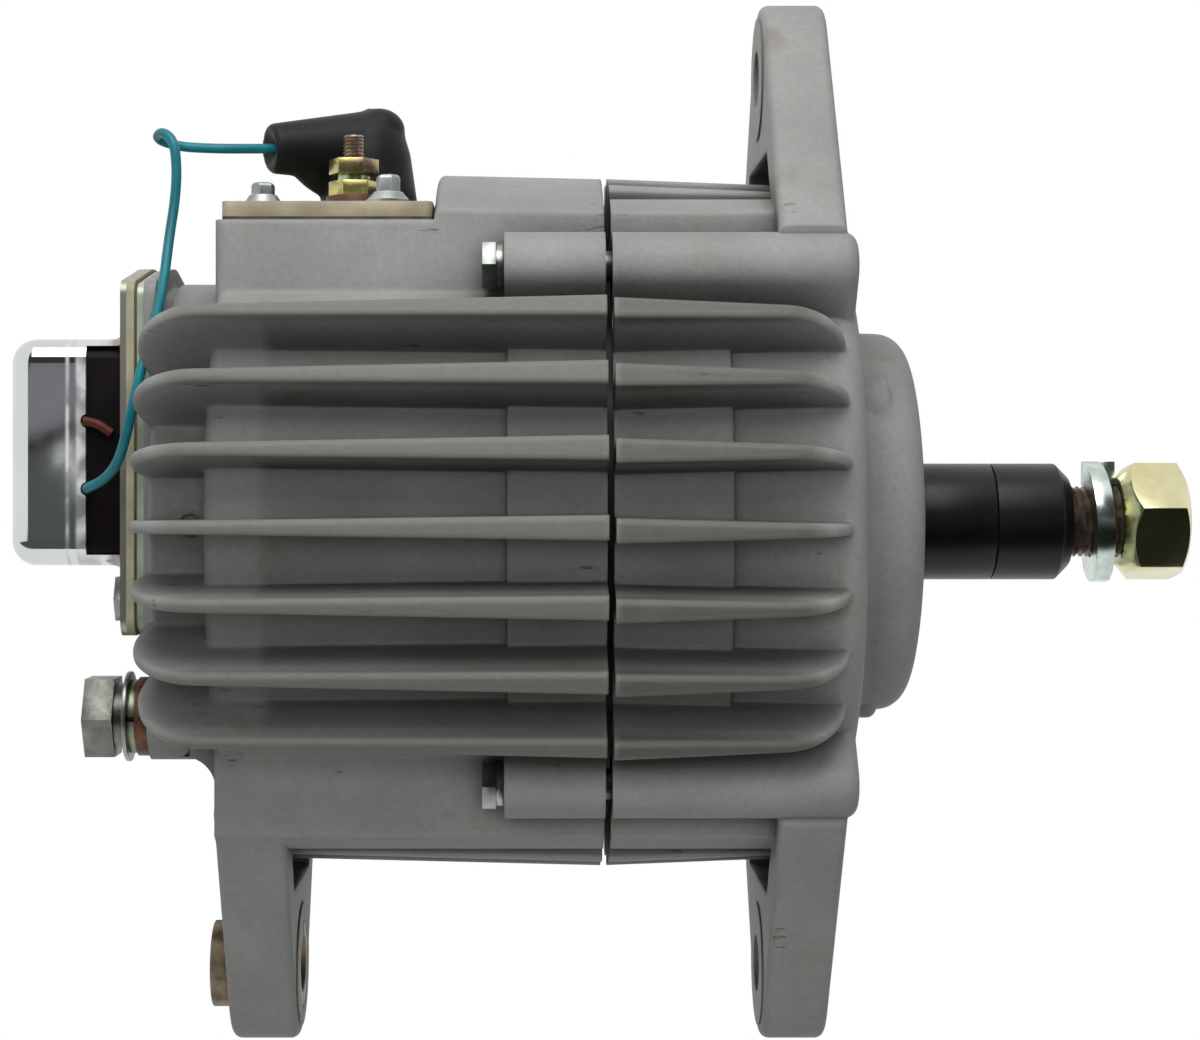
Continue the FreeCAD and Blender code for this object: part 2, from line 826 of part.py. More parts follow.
def drive_end_housing():
    shell = turned(
        [
            (drive_face, 0),
            (drive_face, root_r + band_rise),
            (drive_face + drive_band_length, root_r + band_rise),
            (drive_face + drive_band_length, root_r),
            (drive_face + drive_root_length, root_r, root_corner_r),
            (drive_face + nose_start, nose_r + 0.5, 4.0),
            (drive_face + nose_shoulder, nose_r, nose_edge_r),
            (0, nose_tip_r, 0.6),
            (0, 0),
        ]
    )
    elevations = [fin_pitch_deg * i for i in range(-3, 4)]
    elevations += [180 - e for e in elevations]
    elevations += [-90 - fin_pitch_deg * i for i in (-1.5, -0.5, 0.5, 1.5)]
    elevations += [90 - fin_pitch_deg * i for i in (-1.5, -0.5, 0.5, 1.5)]
    end_foot = nose_r + nose_boss_r
    end_x = drive_face + drive_fin_length
    one = fin(drive_face, 1, drive_fin_length, end_x - 0.5, root_r - 4, end_foot)
    added = fins(one, elevations)
    added = [about_x(f, -drive_turn_deg) for f in added]
    added += bosses(drive_face, drive_face + drive_boss_length, drive_face + drive_boss_length)
    added += cheek(drive_face, ear_rear + ear_thickness - 2, 1)
    added += cheek(drive_face, ear_rear + ear_thickness - 2, -1)
    for turn in (0, 180):
        ear = lug(ear_rear, ear_rear + ear_thickness, ear_base_half_width, ear_base_z, ear_rear)
        added.append(about_x(ear, turn))
    for y, z in retainer_screw_places():
        nose_boss = rod_x(drive_face + drive_root_length - 2, -nose_boss_depth, nose_boss_r, y, z)
        rim = [e for e in nose_boss.Edges if abs(e.CenterOfMass.x + nose_boss_depth) < 0.01]
        added.append(nose_boss.makeFillet(nose_boss_edge_r, rim))
    body = joined(shell, *added)
    wall_in = drive_face + drive_root_length - drive_wall
    cavity = turned(
        [
            (drive_face - 1, 0),
            (drive_face - 1, seat_r),
            (stator_front + seat_gap, seat_r),
            (stator_front + seat_gap, drum_inner),
            (wall_in, drum_inner, 3.0),
            (wall_in, retainer_outer + 0.5),
            (bearing_back, retainer_outer + 0.5),
            (bearing_back, front_outer + seat_gap),
            (bearing_front, front_outer + seat_gap),
            (bearing_front, nose_tip_r - 0.6),
            (-seal_depth, nose_tip_r - 0.6),
            (-seal_depth, seal_outer + seat_gap),
            (1, seal_outer + seat_gap),
            (1, 0),
        ]
    )
    cuts = [cavity]
    for y, z in bolt_places():
        cuts.append(rod_x(drive_face - 1, drive_face + bolt_in_drive + 1, bolt_r + seat_gap, y, z))
    for z in (mount_z, -mount_z):
        cuts.append(rod_x(ear_rear - 1, ear_rear + ear_thickness + 1, mount_hole_r, 0, z))
    for y, z in retainer_screw_places():
        x1 = bearing_back + retainer_screw_reach
        cuts.append(rod_x(bearing_back - 1, x1, retainer_screw_r + seat_gap, y, z))
    return body.cut(Part.makeCompound(cuts))


# Through-bolts


def through_bolts():
    seat = rear_face - rear_boss_length
    head = seat - bolt_washer_height
    bolts, washers = [], []
    for y, z in bolt_places():
        head_solid = hex_x(head - bolt_head_height, head, bolt_head_flats, y, z)
        shank = rod_x(head - 0.5, drive_face + bolt_in_drive, bolt_r, y, z)
        bolts.append(head_solid.fuse(shank).removeSplitter())
        washer = ring_x(head, seat, bolt_washer_r, bolt_r + seat_gap, y, z)
        slit = block(head - 1, seat + 1, y, y + bolt_washer_r + 1, z - 0.4, z + 0.4)
        washers.append(washer.cut(slit))
    return bolts, washers


def adjusting_bushing():
    body = ring_x(foot_front - sleeve_length, foot_front, sleeve_r, mount_hole_r, 0, -mount_z)
    s = sleeve_slit / 2
    slit = block(
        foot_front - sleeve_length - 1, foot_front + 1, -s, s, -mount_z, -mount_z + sleeve_r + 1
    )
    return body.cut(slit)


# Bearings


def bearing(back, width, bore, outer, pitch, ball_r, count):
    """Outer ring, inner ring, balls and cage of a deep-groove ball bearing."""
    front = back + width
    middle = (back + front) / 2
    groove = Part.makeTorus(pitch, ball_r + running_gap, V(middle, 0, 0), X_AXIS)
    lip = ball_r * 0.55
    outer_ring = ring_x(back, front, outer, pitch + lip).cut(groove)
    inner_ring = ring_x(back, front, pitch - lip, bore).cut(groove)
    ball = Part.makeSphere(ball_r, V(middle, 0, pitch))
    balls = ring_of(ball, count)
    cage_half = lip - free_gap
    cage_reach = ball_r + cage_rim
    cage = ring_x(middle - cage_reach, middle + cage_reach, pitch + cage_half, pitch - cage_half)
    pockets = [
        about_x(Part.makeSphere(ball_r + 0.08, V(middle, 0, pitch)), i * 360.0 / count)
        for i in range(count)
    ]
    cage = cage.cut(Part.makeCompound(pockets))
    return outer_ring, inner_ring, balls, cage


def retainer_screw_places():
    n = retainer_screw_count
    return [polar(retainer_screw_pitch_r, retainer_first_deg + 360.0 / n * i) for i in range(n)]


def bearing_retainer():
    back = bearing_back - retainer_thickness
    plate = ring_x(back, bearing_back, retainer_outer, retainer_inner)
    holes = [
        rod_x(back - 1, bearing_back + 1, retainer_screw_r + seat_gap, y, z)
        for y, z in retainer_screw_places()
    ]
    screws = []
    for y, z in retainer_screw_places():
        head = rod_x(back - retainer_head_height, back, retainer_head_r, y, z)
        shank = rod_x(back - 0.5, bearing_back + retainer_screw_reach - 1, retainer_screw_r, y, z)
        screws.append(head.fuse(shank).removeSplitter())
    return plate.cut(Part.makeCompound(holes)), screws


# Stator


def slot_bar(x0, x1, width, r0, r1):
    return block(x0, x1, -width / 2, width / 2, r0, r1)


def stator():
    core = ring_x(stator_back, stator_front, stator_outer, stator_bore)
    deep = stator_bore + slot_depth
    slot = slot_bar(stator_back - 1, stator_front + 1, slot_width, stator_bore - 1, deep)
    core = core.cut(Part.makeCompound(ring_of(slot, slot_count)))
    clear = 0.1
    bar = slot_bar(
        stator_back - 1, stator_front + 1, slot_width - 2 * clear, stator_bore + 1.6, deep - clear
    )
    ends = []
    for inner_x, way in ((stator_back - 0.3, -1), (stator_front + 0.3, 1)):
        far = inner_x + way * winding_reach
        ends.append(
            turned(
                [
                    (inner_x, winding_inner, 1.5),
                    (far, winding_inner, 3.0),
                    (far, winding_outer, 3.0),
                    (inner_x, winding_outer, 1.5),
                ]
            )
        )
    winding = ends[0].multiFuse(ends[1:] + ring_of(bar, slot_count))
    return core, winding


# Rotor


def claw_pole(disc_inner, way):
    """One claw pole: disc, half of the core and six tapered fingers."""
    disc_outer = disc_inner - way * pole_thickness
    low, high = sorted((disc_inner, disc_outer))
    centre = disc_inner + way * coil_gap / 2
    a, b = sorted((disc_inner, centre))
    disc = rod_x(low, high, pole_disc_r)
    core = rod_x(a - 0.01, b, core_r) if way > 0 else rod_x(a, b + 0.01, core_r)

    def section(x, half_deg, depth):
        half = math.radians(half_deg)
        outer, inner = rotor_r, rotor_r - depth

        def at(r, angle):
            return V(x, r * math.sin(angle), r * math.cos(angle))

        edges = [
            Part.Arc(at(outer, -half), at(outer, 0), at(outer, half)).toShape(),
            Part.LineSegment(at(outer, half), at(inner, half)).toShape(),
            Part.Arc(at(inner, half), at(inner, 0), at(inner, -half)).toShape(),
            Part.LineSegment(at(inner, -half), at(outer, -half)).toShape(),
        ]
        return Part.Wire(edges)

    tip = disc_inner + way * (coil_gap - 1.5)
    finger = Part.makeLoft(
        [
            section(disc_outer, finger_root_deg, finger_root_depth),
            section(disc_inner, finger_root_deg, finger_root_depth),
            section(tip, finger_tip_deg, finger_tip_depth),
        ],
        True,
        True,
    )
    fingers = ring_of(finger, pole_count)
    if way < 0:
        fingers = [about_x(f, 180.0 / pole_count) for f in fingers]
    pole = joined(disc, core, *fingers)
    return pole.cut(rod_x(low - coil_gap, high + coil_gap, shaft_pole_r + seat_gap))


def field_coil():
    x0, x1 = rear_pole_front + 0.1, front_pole_back - 0.1
    t = bobbin_wall
    r = core_r + 0.1
    bobbin = turned(
        [
            (x0, r),
            (x0, coil_r),
            (x0 + t, coil_r),
            (x0 + t, r + t),
            (x1 - t, r + t),
            (x1 - t, coil_r),
            (x1, coil_r),
            (x1, r),
        ]
    )
    coil = ring_x(x0 + t + 0.05, x1 - t - 0.05, coil_r - 0.5, r + t + 0.05)
    return bobbin, coil


def rotor_shaft():
    nut_end = nut_back + nut_length
    spacer_end = inner_spacer_reach + outer_spacer_length + 0.2
    return turned(
        [
            (pad_face + ring_sleeve_end - 0.3, 0),
            (pad_face + ring_sleeve_end - 0.3, ring_seat_r, 0.5),
            (rear_bearing_back - rear_bearing_shoulder - 1.2, ring_seat_r),
            (rear_bearing_back - rear_bearing_shoulder - 1.2, rear_bore - seat_gap),
            (rear_bearing_front, rear_bore - seat_gap),
            (rear_bearing_front, rear_bore + 2.0),
            (rear_pole_front - pole_thickness - 4, rear_bore + 2.0),
            (rear_pole_front - pole_thickness - 4, shaft_pole_r),
            (front_pole_back + pole_thickness, shaft_pole_r),
            (front_pole_back + pole_thickness, shaft_shoulder_r),
            (bearing_back, shaft_shoulder_r),
            (bearing_back, front_bore - seat_gap),
            (bearing_front - 0.2, front_bore - seat_gap),
            (bearing_front - 0.2, shaft_seat_r),
            (spacer_end - thread_undercut, shaft_seat_r),
            (spacer_end - thread_undercut, thread_r),
            (nut_end - shaft_in_nut, thread_r, 0.8),
            (nut_end - shaft_in_nut, 0),
        ]
    )


def slip_rings():
    first = pad_face + 2.6 + ring_width / 2
    centres = [first, first + ring_step]
    x0 = pad_face + ring_sleeve_end
    x1 = rear_bearing_back - rear_bearing_shoulder - 1.2
    sleeve = ring_x(x0, x1, sleeve_wall_r, ring_seat_r + seat_gap)
    rings = [
        ring_x(c - ring_width / 2, c + ring_width / 2, ring_r, sleeve_wall_r + seat_gap)
        for c in centres
    ]
    return sleeve, rings, centres


def shaft_hardware():
    inner = ring_x(bearing_front, inner_spacer_reach, spacer_r, shaft_seat_r + seat_gap)
    start = inner_spacer_reach + 0.2
    end = start + outer_spacer_length
    outer = turned(
        [
            (start, shaft_seat_r + seat_gap),
            (start, spacer_r, 0.3),
            (end - spacer_chamfer, spacer_r, 0.5),
            (end, spacer_r - spacer_chamfer, 0.5),
            (end, thread_r + 0.3),
            (end - thread_undercut + 0.05, thread_r + 0.3),
            (end - thread_undercut + 0.05, shaft_seat_r + seat_gap),
        ]
    )
    nut_front = nut_back + nut_length
    corner_r = nut_flats / math.sqrt(3) + 0.1
    nut = slab_x(hexagon(nut_flats, 0, 0, nut_turn_deg), nut_back, nut_front)
    blank = turned(
        [
            (nut_back, thread_r + seat_gap),
            (nut_back, nut_back_flat_r),
            (nut_back + nut_back_chamfer, corner_r),
            (nut_front - nut_front_chamfer, corner_r),
            (nut_front, nut_front_flat_r),
            (nut_front, thread_r + seat_gap),
        ]
    )
    nut = nut.common(blank)
    return inner, outer, lock_washer(), nut


def lock_washer():
    """Helical spring washer: a square bar wound once round the thread."""
    middle_r = (washer_outer + washer_inner) / 2
    half = (washer_outer - washer_inner) / 2
    steps = 20
    gap_deg = 8.0
    sweep = 360.0 - gap_deg
    sections = []
    for i in range(steps + 1):
        share = i / steps
        angle = math.radians(90 + gap_deg / 2 + sweep * share)
        x = washer_back + washer_rise * share
        out = V(0, math.cos(angle), math.sin(angle))
        centre = out * middle_r + V(x, 0, 0)
        corners = [
            centre + out * half,
            centre + out * half + V(washer_thickness, 0, 0),
            centre - out * half + V(washer_thickness, 0, 0),
            centre - out * half,
        ]
        sections.append(Part.makePolygon(corners + corners[:1]))
    return Part.makeLoft(sections, True, True)


# Brushes


def brush_set():
    rings = slip_rings()[2]
    holder = block(
        pad_face,
        pad_face + holder_length,
        -holder_half_depth,
        holder_half_depth,
        holder_bottom_z,
        holder_top_z,
    )
    brushes, springs = [], []
    roof_z = holder_top_z - holder_roof
    for centre in rings:
        a, b = brush_width / 2, brush_depth / 2
        brush = block(centre - a, centre + a, -b, b, 0, brush_top_z)
        brush = brush.cut(rod_x(centre - a - 1, centre + a + 1, ring_r + running_gap))
        brush = max(brush.Solids, key=lambda s: s.CenterOfMass.z)
        brushes.append(brush)
        pocket = block(
            centre - a - brush_gap,
            centre + a + brush_gap,
            -b - brush_gap,
            b + brush_gap,
            holder_bottom_z - 1,
            roof_z,
        )
        holder = holder.cut(pocket)
        springs.append(coil_spring(centre, brush_top_z, roof_z))
    return holder, brushes, springs


def coil_spring(x, z0, z1):
    """Round-wire spring between two flat faces, closed by thin end rings."""
    w = spring_wire / 2
    low, high = z0 + w + 0.02, z1 - w - 0.02
    helix = Part.makeHelix((high - low) / spring_turns, high - low, spring_r)
    helix.translate(V(x, 0, low))
    start = V(x + spring_r, 0, low)
    circle = Part.Wire(Part.makeCircle(w, start, V(0, 1, 0)))
    return Part.Wire(helix.Edges).makePipeShell([circle], True, True)


# Rectifier


def rectifier():
    x0, x1 = plate_rear + box_opening_margin + 1, plate_front - box_opening_margin - 1
    z0 = positive_sink_z
    z1 = z0 + positive_sink_thickness
    w = sink_half_width
    top = slab_z([(x0, -w, 3), (x0, w, 3), (x1, w, 3), (x1, -w, 3)], z0, z1)
    out_x = rear_face - output_x
    top = top.cut(rod_z(z0 - 1, z1 + 1, output_r + seat_gap, out_x, output_y))
    aux_x = rear_face - auxiliary_x
    top = top.cut(rod_z(z0 - 1, z1 + 1, insulator_r + 0.5, aux_x, auxiliary_y))
    diodes = []
    mid = (x0 + x1) / 2
    for i in (-1, 0, 1):
        diodes.append(rod_z(z0 - diode_height, z0, diode_r, mid - diode_back, i * diode_spacing))
    low = ring_x(
        rear_wall_in, rear_wall_in + negative_sink_thickness, negative_sink_outer, negative_sink_inner
    )
    face_x = rear_wall_in + negative_sink_thickness
    r = negative_sink_outer + 1
    low = low.common(block(rear_wall_in - 1, face_x + 1, -r, r, -r, negative_sink_top_z))
    for i in (-1, 0, 1):
        y, z = polar(diode_pitch_r, -90 + i * diode_spread_deg)
        diodes.append(rod_x(face_x, face_x + diode_height, diode_r, y, z))
    return top, low, diodes


# Terminals on top of the rear half


def terminal_screw_places():
    front = rear_face - front_screw_x
    rear = rear_face - rear_screw_x
    return [
        (front, -front_screw_y),
        (front, front_screw_y),
        (rear, -rear_screw_y),
        (rear, rear_screw_y),
    ]


def terminal_plates():
    w = cheek_half_width - plate_edge_inset
    a, b = plate_rear, plate_front
    corners = [(a, -w, 1.5), (a, w, 1.5), (b, w, 1.5), (b, -w, 1.5)]
    m = box_opening_margin
    gasket = slab_z(corners, box_top_z, plate_bottom_z)
    gasket = gasket.cut(block(a + m, b - m, -w + m, w - m, box_top_z - 1, plate_bottom_z + 1))
    plate = slab_z(corners, plate_bottom_z, plate_top_z)
    holes = []
    screws = []
    for x, y in terminal_screw_places():
        hole = rod_z(box_top_z - 1, plate_top_z + 1, terminal_screw_r + bolt_gap, x, y)
        holes.append(hole)
        shank = rod_z(plate_top_z - terminal_screw_length, plate_top_z + 0.5, terminal_screw_r, x, y)
        flange = Part.makeCone(
            terminal_flange_r, terminal_head_r * 0.9, terminal_flange_height * 2, V(x, y, plate_top_z)
        )
        head = hex_z(plate_top_z, plate_top_z + terminal_head_height, terminal_head_r * 1.732, x, y, 30)
        screws.append(joined(shank, flange, head))
    for x, y, r in (
        (rear_face - auxiliary_x, auxiliary_y, auxiliary_pitch_r),
        (rear_face - output_x, output_y, output_r),
    ):
        holes.append(rod_z(plate_bottom_z - 1, plate_top_z + 1, r + insulator_neck, x, y))
    cut = Part.makeCompound(holes)
    return gasket.cut(cut), plate.cut(cut), screws


def terminals():
    x, y = rear_face - auxiliary_x, auxiliary_y
    base = stud_base_z
    low_z = plate_bottom_z - 2.0
    insulators = []
    for px, py, r in ((x, y, auxiliary_pitch_r), (rear_face - output_x, output_y, output_r)):
        neck_r = r + insulator_neck - seat_gap
        upper = rod_z(plate_top_z, base, insulator_r, px, py)
        neck = rod_z(plate_bottom_z, plate_top_z + 0.5, neck_r, px, py)
        bore = rod_z(low_z - 1, base + 1, r + seat_gap, px, py)
        insulators.append(upper.fuse(neck).removeSplitter().cut(bore))
        lower = rod_z(low_z, plate_bottom_z - seat_gap, insulator_r, px, py)
        insulators.append(lower.cut(bore))
    h, lock = auxiliary_nut_height, auxiliary_washer_height
    top_z = base + auxiliary_reach
    free_z = base + 2 * h + lock + auxiliary_free_gap
    point_z = top_z - auxiliary_point
    stud = joined(
        rod_z(low_z - 3, low_z, insulator_r - 1, x, y),
        rod_z(low_z - 4, free_z, auxiliary_pitch_r, x, y),
        rod_z(free_z, point_z, auxiliary_r, x, y),
        Part.makeCone(auxiliary_r, auxiliary_r - auxiliary_point, auxiliary_point, V(x, y, point_z)),
    )
    bore = rod_z(base - 1, top_z, auxiliary_pitch_r + seat_gap, x, y)
    nuts = [
        hex_z(base, base + h, auxiliary_nut_flats, x, y, 8).cut(bore),
        hex_z(base + h + lock, base + 2 * h + lock, auxiliary_nut_flats, x, y, -4).cut(bore),
    ]
    washer = rod_z(base + h, base + h + lock, auxiliary_washer_r, x, y).cut(bore)
    washer = washer.cut(block(x, x + 6, y - 0.3, y + 0.3, base + h - 1, base + h + lock + 1))
    ox, oy = rear_face - output_x, output_y
    bottom = positive_sink_z - 2.2
    out = rod_z(bottom, base + output_reach, output_r, ox, oy)
    out_head = rod_z(bottom, positive_sink_z, output_r + 2.6, ox, oy)
    out = joined(out, out_head)
    hole = rod_z(base - 1, base + output_reach + 1, output_r + seat_gap, ox, oy)
    tab_top = base + tab_thickness
    tab = rod_z(base, tab_top, tab_r, ox, oy).cut(hole)
    out_nut = hex_z(tab_top, tab_top + output_nut_height, output_nut_flats, ox, oy, 0).cut(hole)
    sink_nut = hex_z(
        positive_sink_z + positive_sink_thickness,
        low_z,
        output_nut_flats,
        ox,
        oy,
        0,
    )
    sink_nut = sink_nut.cut(rod_z(bottom, base, output_r + seat_gap, ox, oy))
    return stud, nuts, washer, insulators, out, [out_nut, sink_nut], tab


def rubber_boot():
    """Right-angle boot: a domed skirt over the stud and a round leg for the lead."""
    x, y, z = boot_axis
    dome = face(
        [
            (0, z),
            (boot_base_r, z),
            (boot_shoulder_r, z + boot_shoulder_rise),
            (boot_neck_r, z + boot_neck_rise, boot_neck_round),
            (0, z + boot_height),
        ],
        lambda u, v: V(x + u, y, v),
    ).revolve(boot_axis, V(0, 0, 1), 360)
    leg_length = (boot_elbow - boot_end).Length
    leg = Part.makeCone(boot_leg_r, boot_elbow_r, leg_length, boot_end, boot_way)
    body = joined(dome, leg, Part.makeSphere(boot_elbow_r, boot_elbow))
    room = rod_z(z - 1, z + boot_cavity_height, boot_cavity_r, x, y)
    stud_room = rod_z(z, stud_base_z + output_reach + 0.5, output_r + bolt_gap, x, y)
    mouth = Part.makeCylinder(green_r + bolt_gap, boot_mouth_depth + 1, boot_end - boot_way, boot_way)
    return body.cut(Part.makeCompound([room, stud_room, mouth]))


# Regulator


def peak_outline(inset=0.0):
    w = flange_half_width - inset
    top = flange_peak_z - inset
    side = flange_side_z - inset
    low = flange_bottom_z + inset
    return [
        (-w, low, 4.0),
        (w, low, 4.0),
        (w, side, 3.0),
        (0, top, 30.0),
        (-w, side, 3.0),
    ]


def regulator():
    x = pad_face
    adapter = slab_x(peak_outline(0.6), x - adapter_thickness, x)
    x -= adapter_thickness
    gasket = slab_x(peak_outline(0.4), x - regulator_gasket_thickness, x)
    x -= regulator_gasket_thickness
    backing = slab_x(peak_outline(), x - backing_thickness, x)
    flange = slab_x(peak_outline(), flange_rear, flange_front)
    w, t = cover_half_width, cover_wall
    z0, z1 = cover_bottom_z, cover_top_z
    shell = block(cover_rear, flange_rear + 0.3, -w, w, z0, z1)
    rim = [e for e in shell.Edges if abs(e.CenterOfMass.x - cover_rear) < 0.01]
    long_edges = [e for e in shell.Edges if e.Length > cover_length and abs(e.tangentAt(0).x) > 0.9]
    shell = shell.makeFillet(cover_edge_r, rim + long_edges)
    room = block(cover_rear + t, flange_rear + 1, -w + t, w - t, z0 + t, z1 - t)
    rim = [e for e in room.Edges if abs(e.CenterOfMass.x - cover_rear - t) < 0.01]
    long_edges = [e for e in room.Edges if e.Length > cover_length - t and abs(e.tangentAt(0).x) > 0.9]
    room = room.makeFillet(cover_edge_r - t, rim + long_edges)
    window_z0, window_z1 = z0 + cover_window_low, z1 - cover_window_high
    reach = w + cover_flare_r + 0.1
    window = block(flange_rear - cover_window, flange_rear, -reach, reach, window_z0, window_z1)
    cover = joined(shell, flange)
    foot = [
        e
        for e in cover.Edges
        if all(abs(v.X - flange_rear) < 0.01 for v in e.Vertexes)
        and max(abs(v.Z - (z0 + z1) / 2) for v in e.Vertexes) < (z1 - z0) / 2 + 0.01
        and max(abs(v.Y) for v in e.Vertexes) < w + 0.01
    ]
    cover = cover.makeFillet(cover_flare_r, foot)
    cover = cover.cut(room.common(block(cover_rear, flange_rear, -w, w, z0, z1)))
    cover = cover.cut(window)
    for z in (lead_entry_z, red_entry_z):
        cover = cover.cut(rod_y(-w - 1, -1, lead_notch_r, lead_entry_x, z))
    holes = []
    for y in (-regulator_screw_y, regulator_screw_y):
        holes.append(rod_x(flange_rear - 1, pad_face + 1, regulator_screw_r + bolt_gap, y, regulator_screw_z))
    g = potting_gap
    fill = room.common(block(cover_rear, flange_rear - g, -w, w, z0, z1))
    potting = block(
        cover_rear + t + g, flange_rear - g, -w + t + g, w - t - g, z0 + t + g, z1 - t - g
    ).common(fill)
    cut = Part.makeCompound(holes)
    screws = []
    for y in (-regulator_screw_y, regulator_screw_y):
        head = hex_x(
            flange_rear - regulator_head_height,
            flange_rear,
            regulator_head_flats,
            y,
            regulator_screw_z,
        )
        shank = rod_x(
            flange_rear - 0.5,
            pad_face + regulator_screw_reach - 1,
            regulator_screw_r,
            y,
            regulator_screw_z,
        )
        screws.append(head.fuse(shank).removeSplitter())
    return adapter.cut(cut), gasket.cut(cut), backing.cut(cut), cover.cut(cut), potting, screws


def ground_terminal():
    y, z = ground_y, ground_z
    x = pad_face - ground_boss_rise
    bolt_end = x + ground_bolt_depth
    inner = ground_r + seat_gap
    copper = ring_x(x - ground_ring_height, x, ground_ring_r, inner, y, z)
    x -= ground_ring_height
    lock = ring_x(x - ground_lock_height, x, ground_lock_r, inner, y, z)
    slit = block(x - ground_lock_height - 1, x + 1, y - ground_lock_r - 1, y, z - 0.5, z + 0.5)
    lock = lock.cut(slit)
    x -= ground_lock_height
    flat = ring_x(x - ground_washer_height, x, ground_washer_r, inner, y, z)
    x -= ground_washer_height
    neck = rod_x(x - ground_neck, x, ground_neck_r, y, z)
    x -= ground_neck
    head = hex_x(x - ground_head_height, x, ground_head_flats, y, z)
    shank = rod_x(x - 0.5, bolt_end, ground_r, y, z)
    return joined(neck, head, shank), copper, lock, flat


# Leads

def tube(points, r, name):
    """Round lead along straight runs joined by tangent arcs, each as large as its runs allow."""
    spots = [V(*p) for p in points]
    edges = []
    radii = []
    last = spots[0]
    for i in range(1, len(spots) - 1):
        here = spots[i]
        back, ahead = spots[i - 1] - here, spots[i + 1] - here
        run = min(back.Length, ahead.Length)
        back.normalize()
        ahead.normalize()
        half = (math.pi - back.getAngle(ahead)) / 2
        reach = 0.45 * run
        radius = reach / math.tan(half)
        radii.append(radius)
        bisector = (back + ahead).normalize()
        centre = here + bisector * math.hypot(radius, reach)
        start, end = here + back * reach, here + ahead * reach
        edges.append(Part.LineSegment(last, start).toShape())
        edges.append(Part.Arc(start, centre - bisector * radius, end).toShape())
        last = end
    edges.append(Part.LineSegment(last, spots[-1]).toShape())
    spine = Part.Wire(edges)
    way = (spots[1] - spots[0]).normalize()
    circle = Part.Wire(Part.makeCircle(r, spots[0], way))
    solid = spine.makePipeShell([circle], True, False)
    expected = math.pi * r * r * spine.Length
    print(name, "length", round(spine.Length, 1), "volume share", round(solid.Volume / expected, 4))
    print(name, "radii", [round(x, 1) for x in radii])
    return solid


def red_lead():
    y = potting_side_y - red_r - seat_gap
    start = lead_entry_x - 0.8
    points = [
        (start, y, red_entry_z),
        (start + 2.8, y - 0.4, red_entry_z - 0.5),
        (start + 5.9, y - 0.1, red_entry_z - 2.6),
    ]
    return tube(points, red_r, "red_lead")


def main():
    write("rear_housing", rear_housing())
    write("drive_end_housing", drive_end_housing())
    bolts, bolt_washers = through_bolts()
    write("through_bolts", *bolts)
    write("through_bolt_washers", *bolt_washers)
    write("adjusting_bushing", adjusting_bushing())
    core, winding = stator()
    write("stator_core", core)
    write("stator_windings", winding)

    for name, values in (
        ("front", (bearing_back, front_width, front_bore, front_outer, front_pitch, front_ball_r,
                   front_ball_count)),
        ("rear", (rear_bearing_back, rear_width, rear_bore, rear_outer, rear_pitch, rear_ball_r,
                  rear_ball_count)),
    ):
        outer_ring, inner_ring, balls, cage = bearing(*values)
        write(name + "_bearing_outer_ring", outer_ring)
        write(name + "_bearing_inner_ring", inner_ring)
        write(name + "_bearing_balls", *balls)
        write(name + "_bearing_cage", cage)
    retainer, retainer_screws = bearing_retainer()
    write("bearing_retainer", retainer)
    write("retainer_screws", *retainer_screws)
    write("shaft_seal", ring_x(-seal_depth, 0, seal_outer, spacer_r + free_gap))

    write("rotor_shaft", rotor_shaft())
    write("rear_claw_pole", claw_pole(rear_pole_front, 1))
    write("front_claw_pole", claw_pole(front_pole_back, -1))
    bobbin, coil = field_coil()
    write("coil_bobbin", bobbin)
    write("field_coil", coil)
    sleeve, rings, _ = slip_rings()
    write("slip_ring_sleeve", sleeve)
    write("slip_rings", *rings)
    inner, outer, washer, nut = shaft_hardware()
    write("inner_spacer", inner)
    write("outer_spacer", outer)
    write("shaft_lock_washer", washer)
    write("shaft_nut", nut)

    holder, brushes, springs = brush_set()
    write("brush_holder", holder)
    write("rear_brush", brushes[0])
    write("front_brush", brushes[1])
    write("rear_brush_spring", springs[0])
    write("front_brush_spring", springs[1])

    top_sink, low_sink, diodes = rectifier()
    write("positive_heat_sink", top_sink)
    write("negative_heat_sink", low_sink)
    write("rectifier_diodes", *diodes)
    gasket, plate, screws = terminal_plates()
    write("terminal_gasket", gasket)
    write("terminal_plate", plate)
    write("terminal_screws", *screws)
    stud, nuts, washer, insulators, out, out_nuts, tab = terminals()
    write("auxiliary_stud", stud)
    write("auxiliary_nuts", *nuts)
    write("auxiliary_lock_washer", washer)
    write("stud_insulators", *insulators)
    write("output_stud", out)
    write("output_nuts", *out_nuts)
    write("lead_terminal", tab)
    write("rubber_boot", rubber_boot())
    write("green_lead", tube(green_route, green_r, "green_lead"))
    write("red_lead", red_lead())

    adapter, gasket, backing, cover, potting, screws = regulator()
    write("regulator_adapter", adapter)
    write("regulator_gasket", gasket)
    write("regulator_plate", backing)
    write("regulator_cover", cover)
    write("regulator_potting", potting)
    write("regulator_screws", *screws)
    bolt, copper, lock, flat = ground_terminal()
    write("ground_bolt", bolt)
    write("ground_contact_ring", copper)
    write("ground_lock_washer", lock)
    write("ground_washer", flat)


main()
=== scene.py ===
import json
import math

